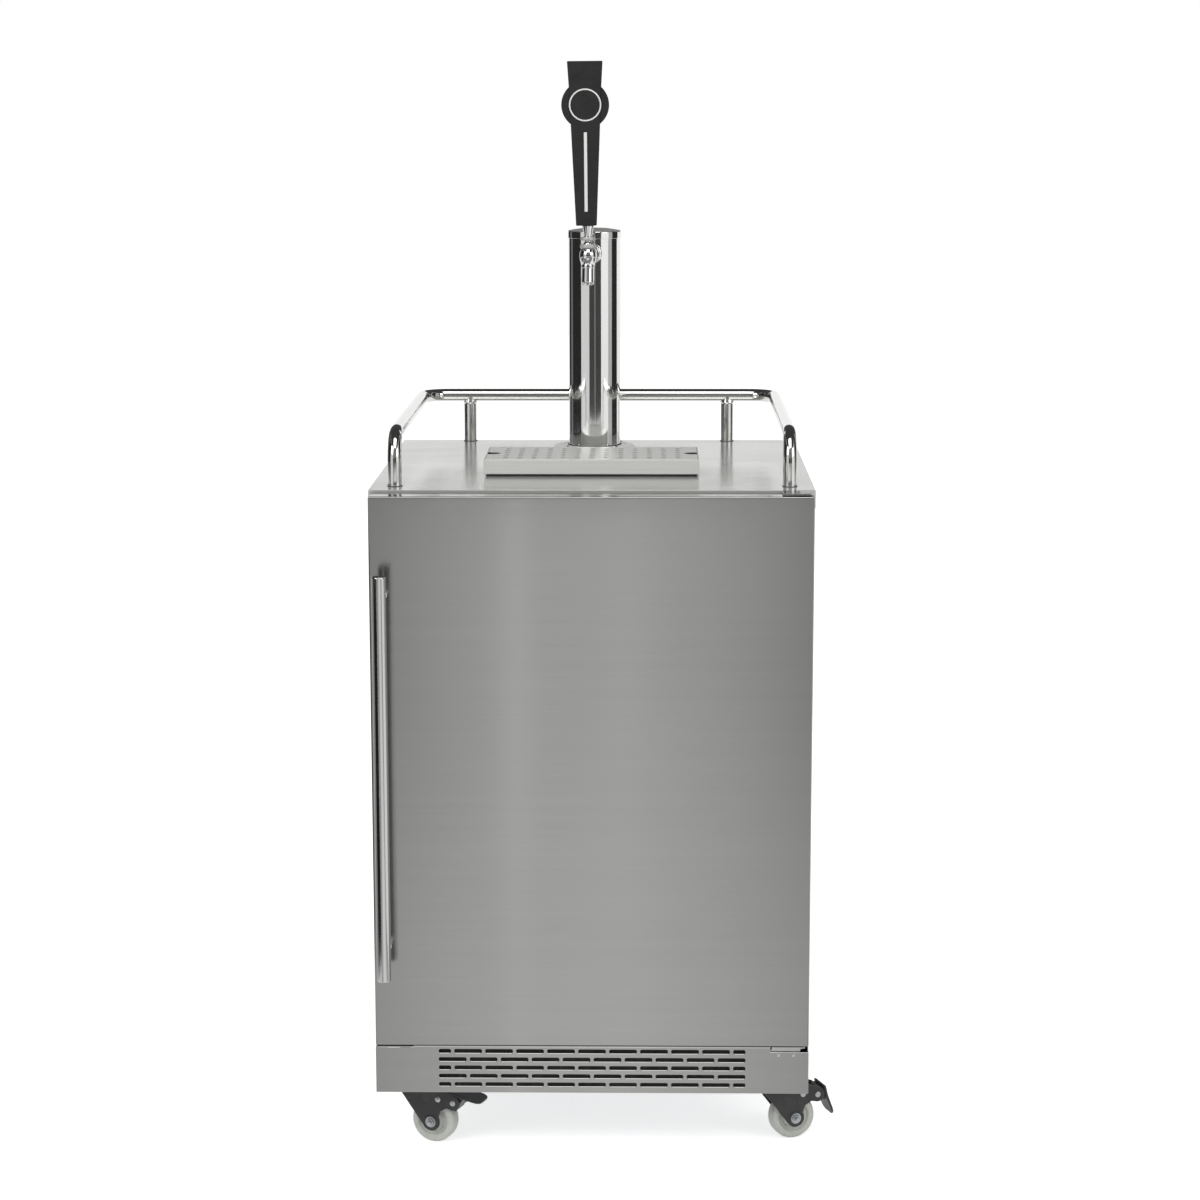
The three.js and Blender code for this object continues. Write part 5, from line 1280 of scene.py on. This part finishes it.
    def brake(self, place, own, lift):
        length = self.pedal_length
        pin = at(self.trail + self.lever_run, 0, self.wheel_radius + self.lever_rise)
        turn = own @ pin @ turned(-lift, "Y")
        cam = [
            (0.24, 0.2), (0.3, -0.06), (0.3, -0.22), (0.1, -0.2), (-0.2, -0.22), (-0.24, -0.16), (-0.16, 0.02),
            (0.04, 0.2),
        ]
        pedal = [(0.2, 0.26), (0.28, 0.27), (0.37, -0.08), (0.625, -0.753), (0.556, -0.783), (0.3, -0.14)]
        brake = Piece(turn)
        for outline, half, edge in ((cam, 14.6, 0.6), (pedal, 18.0, 0.8)):
            part = bmesh.new()
            points = [(x * length, z * length) for x, z in outline]
            plate(part, outlined(part, points), 2 * half)
            if outline is pedal:
                tip = [
                    e for e in part.edges
                    if len(e.link_faces) == 2 and abs(e.verts[0].co.z - e.verts[1].co.z) < 0.01
                    and max(v.co.y for v in e.verts) < -0.7 * length
                ]
                toe = {e for v in {v for e in tip for v in e.verts} for e in v.link_edges if abs(e.calc_length()) < 4}
                bevelled(part, list(toe), self.toe_radius, 4)
            soften(part, edge, 2, 35)
            brake.add(part, at(0, -half, 0) @ UPRIGHT)
        brake.finish(f"caster_pedal_{place}", f"brake_{place}", "caster_black", [f"caster_brake_{place}"])


class MachineSpace(bpy.types.Operator):
    """Compressor, condenser, fan and the slotted back cover"""

    bl_idname = "kegerator.machine_space"
    bl_label = "Machine space"
    bl_options = {"REGISTER", "UNDO"}

    def execute(self, context):
        self.compressor()
        self.condenser()
        single(cad_copy("condenser_shroud", 0.3), "fan_shroud", "cabinet", "galvanised", ["condenser_shroud"])
        fan_piece("condenser_fan", "condenser_fan_blades", "condenser_fan", (1, 0, 0))
        self.back_cover()
        return {"FINISHED"}

    def compressor(self):
        xs, ys, zs = extent("compressor")
        radius, low, high = 54.0, 113.5, zs[1]
        shell = Piece(at(middle(xs), middle(ys), 0))
        corner = 16
        dome = arc((radius - corner, high - corner), corner, 90, 0, 6)
        base = arc((radius - corner, low + corner), corner, 0, -90, 6)
        seam = low + 0.62 * (high - low)
        shell.add(spun([
            (0, high), *dome, (radius, seam + 3), (radius, seam), (radius - 0.8, seam - 0.6), (radius - 0.8, low + 18),
            *base, (0, low),
        ], FINE))
        shell.add(lofted([
            (low - 3, (150, 96), 14), (low - 0.6, (150, 96), 14), (low, (148, 94), 13),
        ]))
        shell.add(boxed((-22, 22), (-radius - 1, -radius + 16), (low + 40, low + 92), 3, 3))
        for x, z in ((-30, 30), (-12, 26), (14, 24)):
            shell.add(rod(3.2, 0, 24, COARSE, 0.4), at(x, -radius + 14, low + z) @ facing((0, -0.9, 0.45)))
        shell.finish("compressor_shell", "cabinet", "compressor_black", ["compressor"])
        feet = Piece(at(middle(xs), middle(ys), 0))
        for x in (-61, 61):
            for y in (-34, 34):
                feet.add(spun([
                    (0, 105.5), (8, 105.5), (8, 107), (6.6, 108), (8, 109), (8, 110.5), (6.6, 111.5),
                    (6.6, 112.6), (0, 112.6),
                ], COARSE), at(x, y, 0))
                feet.add(rod(4.6, 113, 115.2, 6, 0.3), at(x, y, 0))
        feet.finish("compressor_feet", "cabinet", "gasket_rubber")

    def condenser(self):
        xs, ys, zs = extent("condenser")
        block = Piece()
        count = sizes().fin_count
        low, high = zs[0] + 8, zs[1] - 1
        for i in range(count):
            z = low + i * (high - low) / (count - 1)
            block.add(boxed(drawn_in(xs, 2), drawn_in(ys, 0.5), (z - 0.3, z + 0.3)))
        for x in xs:
            span = (x, x + 1.5) if x < middle(xs) else (x - 1.5, x)
            block.add(boxed(span, ys, zs, 0.4))
        block.finish("condenser_fins", "cabinet", "fin_aluminium", ["condenser"])
        tubes = Piece()
        for step in (-1, 0, 1):
            y = middle(ys) + step * width_of(ys) / 3
            tubes.add(rod(4, low + 2, high - 2, COARSE, 1.2), at(middle(xs), y, 0))
        tubes.finish("condenser_tubes", "cabinet", "fin_aluminium")

    def back_cover(self):
        xs, ys, zs = extent("back_cover")
        part = bmesh.new()
        edges = rim(part, (width_of(xs), width_of(zs)), 2, (0, middle(zs)))
        slots = [
            ((column - 1.5) * 118.0, middle(zs) + (row - 3.5) * 18.0) for row in range(8) for column in range(4)
        ]
        for x, z in slots:
            edges += rim(part, (96, 6), 2.9, (x, z))
        cover = Piece().add(plate(part, edges, width_of(ys) - HEAD_ROOM, 0.25), at(0, ys[0], 0) @ UPRIGHT)
        for x, z in slots:
            hood = boxed((x - 48, x + 48), (ys[0] - 5, ys[0] - 0.2), (z + 2.6, z + 3.4), 0.2, 1)
            cover.add(hood)
        cover.finish("rear_grille", "cabinet", "galvanised", ["back_cover"])
        heights = (zs[0] + 14, middle(zs), zs[1] - 14)
        places = [(x, ys[1] - HEAD_ROOM - 0.1, z) for x in (-280, 280) for z in heights]
        screws("rear_grille_screws", "cabinet", places, (0, 1, 0))


def fan_piece(node, name, body, axis):
    """A moulded fan: a domed hub and five swept blades inside the CAD fan's own space."""
    low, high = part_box(node)
    lows, highs = Vector(low) / MILLIMETRE, Vector(high) / MILLIMETRE
    centre = (lows + highs) / 2
    main = max(range(3), key=lambda i: axis[i])
    start = centre.copy()
    start[main] = lows[main]
    others = [i for i in range(3) if i != main]
    radius = max(highs[i] - lows[i] for i in others) / 2 - 0.5
    joint = next(j for j in frame["joints"] if j["child"] == body)
    for i in others:
        start[i] = joint["pos_m"][i] / MILLIMETRE
    fan = Piece(at(*start) @ facing(axis))
    fan.add(spun([
        (0, 0), (7, 0.2), (11, 1.4), (13, 4), (13, 16), (0, 16),
    ], ROUND))
    fan.add(rod(2.5, 15, highs[main] - lows[main], COARSE))
    for i in range(5):
        blade = boxed((8, radius), (-13, 13), (-0.8, 0.8), 0.5)
        bmesh.ops.subdivide_edges(blade, edges=blade.edges[:], cuts=3, use_grid_fill=True)
        for vert in blade.verts:
            share = (vert.co.x - 8) / (radius - 8)
            vert.co.z += 2.2 * (vert.co.y / 13) ** 2 * (1 - 0.5 * share)
            vert.co.y *= 0.72 + 0.28 * share
            vert.co.y += 4 * share * share
        bmesh.ops.rotate(blade, verts=blade.verts, cent=(0, 0, 0), matrix=Matrix.Rotation(radians(32), 3, "X"))
        for vert in blade.verts:
            vert.co.z = max(-7.9, min(7.9, vert.co.z))
        fan.add(blade, turned(72 * i) @ at(0, 0, 8))
    return fan.finish(name, body, "fan_black", [node])


class Inside(bpy.types.Operator):
    """Food liner, evaporator cover with its grille and fan, thermostat and light"""

    bl_idname = "kegerator.inside"
    bl_label = "Inside"
    bl_options = {"REGISTER", "UNDO"}

    def execute(self, context):
        self.liner()
        self.evaporator()
        self.thermostat()
        self.light()
        return {"FINISHED"}

    def liner(self):
        xs, ys, zs = extent("inner_liner")
        cavity_half, front, back = 260.0, ys[0], ys[1] - 2
        floor, ceiling = 195.0, 860.0
        part = bmesh.new()
        outline = [
            (front, floor), (STEP_FRONT, floor), (STEP_FRONT, STEP_TOP), (back, STEP_TOP), (back, ceiling),
            (front, ceiling),
        ]
        verts = [part.verts.new((-cavity_half, y, z)) for y, z in outline]
        side = part.faces.new(verts)
        pushed = bmesh.ops.extrude_face_region(part, geom=[side])["geom"]
        bmesh.ops.translate(part, verts=of_kind(bmesh.types.BMVert, pushed), vec=(2 * cavity_half, 0, 0))
        bmesh.ops.recalc_face_normals(part, faces=part.faces)
        mouth = [face for face in part.faces if face.normal.y < -0.9 and abs(face.calc_center_median().y - front) < 1]
        bmesh.ops.delete(part, geom=mouth, context="FACES_ONLY")
        folds = [edge for edge in part.edges if len(edge.link_faces) == 2]
        bevelled(part, folds, sizes().liner_corner, 5)
        bmesh.ops.reverse_faces(part, faces=part.faces)
        bmesh.ops.solidify(part, geom=part.faces[:], thickness=1.8)
        liner = Piece().add(part)
        frame_sheet = bmesh.new()
        mid = (floor + ceiling) / 2
        edges = rim(frame_sheet, (width_of(xs), width_of(zs)), 1, (0, middle(zs)))
        edges += rim(frame_sheet, (2 * cavity_half, ceiling - floor), sizes().liner_corner, (0, mid), corner_steps=5)
        liner.add(plate(frame_sheet, edges, 1.5, 0.3), at(0, front, 0) @ UPRIGHT)
        liner.finish("food_liner", "cabinet", "liner_white", ["inner_liner"])
        plug = spun([(6, 856), (24.6, 856), (26, 857), (26, 860.5), (6, 860.5)], ROUND, closed=True)
        single(plug, "line_grommet", "cabinet", "gasket_rubber", (), at(middle(COLUMN_X), middle(COLUMN_Y), 0))

    def evaporator(self):
        dress("evaporator_coil", "fin_aluminium")
        xs, ys, zs = extent("evaporator_cover")
        front = ys[0]
        size = (width_of(xs), width_of(zs))
        part = bmesh.new()
        edges = rim(part, reduced(size, 4), 8, (0, middle(zs)))
        fan_radius = 50.5
        edges += rim(part, (2 * fan_radius, 2 * fan_radius), fan_radius, (0, middle(zs)), corner_steps=12)
        vents = [(side * (86 + 14 * i), middle(zs) + dz) for side in (-1, 1) for i in range(4) for dz in (-50, 50)]
        for x, z in vents:
            edges += rim(part, (6, 70), 2.9, (x, z))
        cover = Piece().add(plate(part, edges, 2, 0.3), at(0, front, 0) @ UPRIGHT)
        shell = lofted([
            (0.9, reduced(size, 5), 8), (0.4, reduced(size, 1.5), 9), (2.5, size, 10),
            (width_of(ys), size, 10), (width_of(ys), reduced(size, 4), 8), (2.2, reduced(size, 5), 8),
        ], closed=True)
        cover.add(shell, at(0, front, middle(zs)) @ INWARD)
        cover.add(boxed((-148, 148), (front + 18, front + 21), (middle(zs) - 9, middle(zs) + 9), 0.4))
        hub = at(0, front, middle(zs)) @ facing((0, 1, 0))
        cover.add(rod(18, 18, 31, ROUND, 1.5), hub)
        cover.finish("evaporator_housing", "cabinet", "liner_white", ["evaporator_cover"])
        guard = Piece(at(0, front - 0.4, middle(zs)) @ TO_VIEWER)
        for radius in (16, 24, 32, 40, 48):
            guard.add(washer(radius - 1, radius + 1, -1.2, 0.2, FINE, 0.3))
        guard.add(rod(9, -1.2, 0.6, ROUND, 0.5))
        for i in range(6):
            guard.add(boxed((8, fan_radius + 2), (-1, 1), (-1.2, 0), 0.2), turned(60 * i))
        guard.finish("fan_guard", "cabinet", "liner_white", finish="fan_black")
        fan_piece("circulation_fan", "circulation_fan_blades", "circulation_fan", (0, 1, 0))

    def thermostat(self):
        xs, ys, zs = extent("thermostat_housing")
        size, centre = flat_box(xs, zs)
        depth = width_of(ys)
        body = lofted([
            (0, size, 4, centre), (depth - 3, size, 4, centre), (depth - 0.8, reduced(size, 1.6), 3.6, centre),
            (depth, reduced(size, 5), 3, centre),
        ])
        single(body, "thermostat_box", "cabinet", "liner_white", ["thermostat_housing"], at(0, ys[1], 0) @ UPRIGHT)
        kx, ky, kz = extent("thermostat_knob")
        face = at(middle(kx), ys[0], middle(kz)) @ TO_VIEWER
        marks = Piece(face)
        for i in range(11):
            turn = turned(240 - 30 * i)
            marks.add(boxed((20.5, 23 if i % 5 else 25), (-0.4, 0.4), (-0.2, 0.15), 0.05, 1), turn)
        marks.finish("thermostat_scale", "cabinet", "liner_white", finish="slot_dark")
        height = width_of(ky)
        place = at(middle(kx), ky[1], middle(kz)) @ TO_VIEWER
        knob = Piece(place)
        knob.add(spun([(0, 0), (16.6, 0), (17, 0.5), (17, 5), (16.2, 6.4), (14.5, 7), (0, 7)], FINE))
        for i in range(24):
            knob.add(rod(0.9, 0.6, 5, 8), turned(15 * i) @ at(16.3, 0, 0))
        knob.add(boxed((-2.5, 2.5), (-15, 15), (4, height - 0.2), 1.1, 3))
        knob.finish("thermostat_dial", "thermostat_knob", "fan_black", ["thermostat_knob"])
        pointer = boxed((-0.6, 0.6), (5, 14.2), (height - 0.4, height - 0.05), 0.1, 1)
        single(pointer, "thermostat_pointer", "thermostat_knob", "fan_black", (), place, finish="trim_grey")

    def light(self):
        xs, ys, zs = extent("interior_light")
        size, centre = flat_box(xs, ys)
        lens = lofted([
            (zs[0], reduced(size, 10), 4, centre), (zs[0] + 0.8, reduced(size, 5), 6, centre),
            (zs[0] + 3.5, reduced(size, 1), 7, centre), (zs[1] - 0.1, size, 7, centre),
        ])
        light = Piece().add(lens)
        for i in range(9):
            x = centre[0] + (i - 4) * 11.5
            light.add(boxed((x - 0.8, x + 0.8), drawn_in(ys, 5), (zs[0] + 0.02, zs[0] + 1.4), 0.5))
        light.finish("light_cover", "cabinet", "light_lens", ["interior_light"])


# The door's front face, in metres
DOOR_FACE = -0.346


class Studio(bpy.types.Operator):
    """Camera, pale floor, soft lamps and the dark cards that bright metal reflects"""

    bl_idname = "kegerator.studio"
    bl_label = "Studio"
    bl_options = {"REGISTER", "UNDO"}

    camera_place = (0.074142, -4.070383, 1.434857)
    pitch, yaw, roll = 9.797, 0.943, 0.071
    lens = 85.9035
    white = (1.0, 1.0, 1.0)

    # Centre, distance, angles, heights and grey of each curved card, in metres and degrees
    far = ((0.0, 0.0), 5.2)
    low = ((0.0, 0.0), 3.0)
    bar = ((-0.27, -0.41), 0.9)
    curved_cards = (
        (*far, (-148, -128), (0.3, 5.0), 0.02), (*far, (-128, -113), (0.3, 5.0), 0.16),
        (*far, (-113, -62), (0.3, 5.0), 0.025), (*far, (-62, -23), (0.3, 5.0), 0.74),
        (*far, (-23, 1), (0.3, 1.7), 0.06), (*far, (1, 5), (0.3, 1.7), 0.25), (*far, (5, 31), (0.3, 1.7), 0.06),
        (*far, (-23, 31), (1.7, 5.0), 0.22), (*low, (-113, -62), (0.0, 0.55), 0.03),
        (*low, (-23, 31), (0.0, 0.55), 0.06), (*low, (86, 121), (0.0, 0.55), 0.03),
        (*far, (66, 86), (0.3, 5.0), 0.48), (*far, (86, 121), (0.3, 5.0), 0.025),
        (*far, (125, 235), (2.0, 7.0), 0.06),
        (*bar, (-150, -95), (0.0, 0.72), 0.3), (*bar, (-95, -34), (0.0, 0.72), 0.015),
    )
    door_card_y = -1.1
    door_card_top = 0.84
    door_card_shade = 0.818
    overhead = (6.0, (-6.0, 6.0), (-6.5, 6.5))

    def execute(self, context):
        scene = context.scene
        self.camera(scene)
        self.world(scene)
        self.floor(scene)
        self.lamps(scene)
        self.cards(scene)
        scene.view_settings.view_transform = "Standard"
        return {"FINISHED"}

    def camera(self, scene):
        data = bpy.data.cameras.new("camera")
        data.lens, data.sensor_width, data.clip_end = self.lens, 36, 100
        camera = bpy.data.objects.new("camera", data)
        turn = turned(self.yaw) @ turned(90 - self.pitch, "X") @ turned(-self.roll)
        camera.matrix_world = at(*self.camera_place) @ turn
        scene.collection.objects.link(camera)
        scene.camera = camera

    def world(self, scene):
        world = bpy.data.worlds.new("studio")
        world.use_nodes = True
        scene.world = world
        nodes, links = world.node_tree.nodes, world.node_tree.links
        path = nodes.new("ShaderNodeLightPath")
        seen = nodes.new("ShaderNodeMath")
        seen.operation = "MAXIMUM"
        links.new(path.outputs["Is Camera Ray"], seen.inputs[0])
        mirrored = nodes.new("ShaderNodeMath")
        mirrored.operation = "MAXIMUM"
        links.new(path.outputs["Is Glossy Ray"], mirrored.inputs[0])
        links.new(path.outputs["Is Transmission Ray"], mirrored.inputs[1])
        links.new(mirrored.outputs[0], seen.inputs[1])
        level = nodes.new("ShaderNodeMapRange")
        level.inputs["To Min"].default_value = 0.62
        level.inputs["To Max"].default_value = 1.0
        links.new(seen.outputs[0], level.inputs["Value"])
        background = nodes["Background"]
        background.inputs["Color"].default_value = (*self.white, 1)
        links.new(level.outputs[0], background.inputs["Strength"])

    def floor(self, scene):
        """A pale floor that is white where nothing shades it, in the picture and in metal."""
        part = bmesh.new()
        bmesh.ops.create_grid(part, x_segments=1, y_segments=1, size=14)
        paint = Paint("studio_floor", Roughness=0.9, Specular_IOR_Level=0.1, Emission_Strength=1.0)
        seen = paint.node("ShaderNodeLightPath", out="Is Camera Ray")
        mirrored = paint.node("ShaderNodeLightPath", out="Is Glossy Ray")
        paint.set("Base Color", paint.mixed(mirrored, (0.9, 0.9, 0.9), (0.2, 0.2, 0.2)))
        paint.set("Emission Color", seen * 0.58 + mirrored * 0.8)
        self.staged(scene, "floor", part, paint)

    def staged(self, scene, name, part, paint):
        data = bpy.data.meshes.new(name)
        part.to_mesh(data)
        part.free()
        data.materials.append(paint.material)
        made = bpy.data.objects.new(name, data)
        scene.collection.objects.link(made)
        return made

    def lamps(self, scene):
        for name, place, size, power in (
            ("key", (-2.6, -3.0, 3.2), 1.8, 55),
            ("fill", (3.0, -2.6, 2.6), 1.6, 28),
            ("top", (0.1, -1.7, 3.7), 2.0, 40),
        ):
            data = bpy.data.lights.new(name, "AREA")
            data.shape, data.size, data.energy = "SQUARE", size, power
            lamp = bpy.data.objects.new(name, data)
            aim = Vector((0, 0, 0.7)) - Vector(place)
            lamp.matrix_world = Matrix.Translation(place) @ aim.to_track_quat("-Z", "Y").to_matrix().to_4x4()
            scene.collection.objects.link(lamp)

    def card(self, scene, name, part, level):
        """A card that only reflections see. Its level is a grey, or a value that varies over it."""
        paint = Paint(name, Base_Color=(0, 0, 0), Roughness=1.0, Specular_IOR_Level=0.0, Emission_Strength=1.0)
        paint.set("Emission Color", level(paint) if callable(level) else (level, level, level))
        card = self.staged(scene, name, part, paint)
        card.visible_camera = card.visible_diffuse = card.visible_shadow = False
        card.visible_transmission = card.visible_volume_scatter = False

    def cards(self, scene):
        """Curved cards. An angle of 0 is towards the viewer, and 90 is the viewer's right."""
        for number, (centre, distance, angles, heights, grey) in enumerate(self.curved_cards):
            part = bmesh.new()
            start, stop = (radians(angle) for angle in angles)
            where = (centre[0] + distance * sin(start), centre[1] - distance * cos(start))
            verts = [part.verts.new((*where, height)) for height in heights]
            edge = part.edges.new(verts)
            bmesh.ops.spin(
                part, geom=[*verts, edge], cent=(*centre, 0), axis=(0, 0, 1), dvec=(0, 0, 0),
                angle=stop - start, steps=8,
            )
            self.card(scene, f"card_{number}", part, grey)
        high, front, door = self.door_card_top, self.door_card_y, DOOR_FACE - 0.07
        upright = self.flat((-0.7, 0.7), (0, high), at(0, front, 0) @ UPRIGHT)
        self.card(scene, "door_card", upright, self.door_level)
        self.card(scene, "door_floor_card", self.flat((-0.7, 0.7), (front, door), at(0, 0, 0.002)), self.door_level)
        height, xs, ys = self.overhead
        self.card(scene, "overhead_card", self.flat(xs, ys, at(0, 0, height)), 0.05)

    def flat(self, xs, ys, place):
        """A flat sheet over two ranges of its own X and Y."""
        part = bmesh.new()
        bmesh.ops.create_grid(part, x_segments=1, y_segments=1, size=0.5)
        part.transform(place @ at(middle(xs), middle(ys), 0) @ Matrix.Diagonal((width_of(xs), width_of(ys), 1, 1)))
        return part

    def door_level(self, paint):
        """What the door mirrors: grey to both sides and above, white at the foot, with a light streak."""
        across, depth, height = (
            paint.node("ShaderNodeSeparateXYZ", {}, {"Vector": paint.place}, out=axis) for axis in "XYZ"
        )
        eye_x, eye_y, _ = self.camera_place
        reach = (DOOR_FACE - depth) * (1 / (DOOR_FACE - eye_y))
        door_x = (across + reach * eye_x) * (reach + 1.0) ** -1.0
        fade = paint.spread(height, 0.0, 0.5, 0.3, 0.95)
        lit = paint.spread(height, self.door_card_shade, self.door_card_shade + 0.02, 1.0, 0.0)
        sides = door_x * door_x * 3.6 * (fade * 0.45 + 0.55)
        light = door_x.near(-0.105, 0.009) * 0.3 + door_x.near(0.045, 0.03) * 0.08
        return paint.spread(1.0 - lit * (sides + fade * (0.14 - light)), 0.35, 1.3, 0.35, 1.3)


class KegeratorPanel(bpy.types.Panel):
    """Lists the steps in the 3D view's sidebar"""

    bl_idname = "VIEW3D_PT_kegerator"
    bl_label = "Kegerator"
    bl_space_type = "VIEW_3D"
    bl_region_type = "UI"
    bl_category = "Kegerator"

    def draw(self, context):
        for step in STEPS:
            self.layout.operator(step.bl_idname)
        for group in (context.scene.kegerator_sizes, context.scene.kegerator_finishes):
            for setting in group.bl_rna.properties.keys():
                if setting not in {"rna_type", "name"}:
                    self.layout.prop(group, setting)


STEPS = (
    Studio, CabinetBody, Worktop, GuardRail, KickPlate, Hinges, Door, DoorHandle, Tower, Faucet, TapHandle,
    DripTray, Casters, MachineSpace, Inside,
)
CLASSES = (KegeratorSizes, KegeratorFinishes, *STEPS, KegeratorPanel)


def register():
    for made in CLASSES:
        bpy.utils.register_class(made)
    bpy.types.Scene.kegerator_sizes = PointerProperty(type=KegeratorSizes)
    bpy.types.Scene.kegerator_finishes = PointerProperty(type=KegeratorFinishes)


def unregister():
    del bpy.types.Scene.kegerator_finishes
    del bpy.types.Scene.kegerator_sizes
    for made in reversed(CLASSES):
        bpy.utils.unregister_class(made)


def main():
    register()
    for step in STEPS:
        group, name = step.bl_idname.split(".")
        getattr(getattr(bpy.ops, group), name)()
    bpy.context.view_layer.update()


if __name__ == "__main__":
    main()
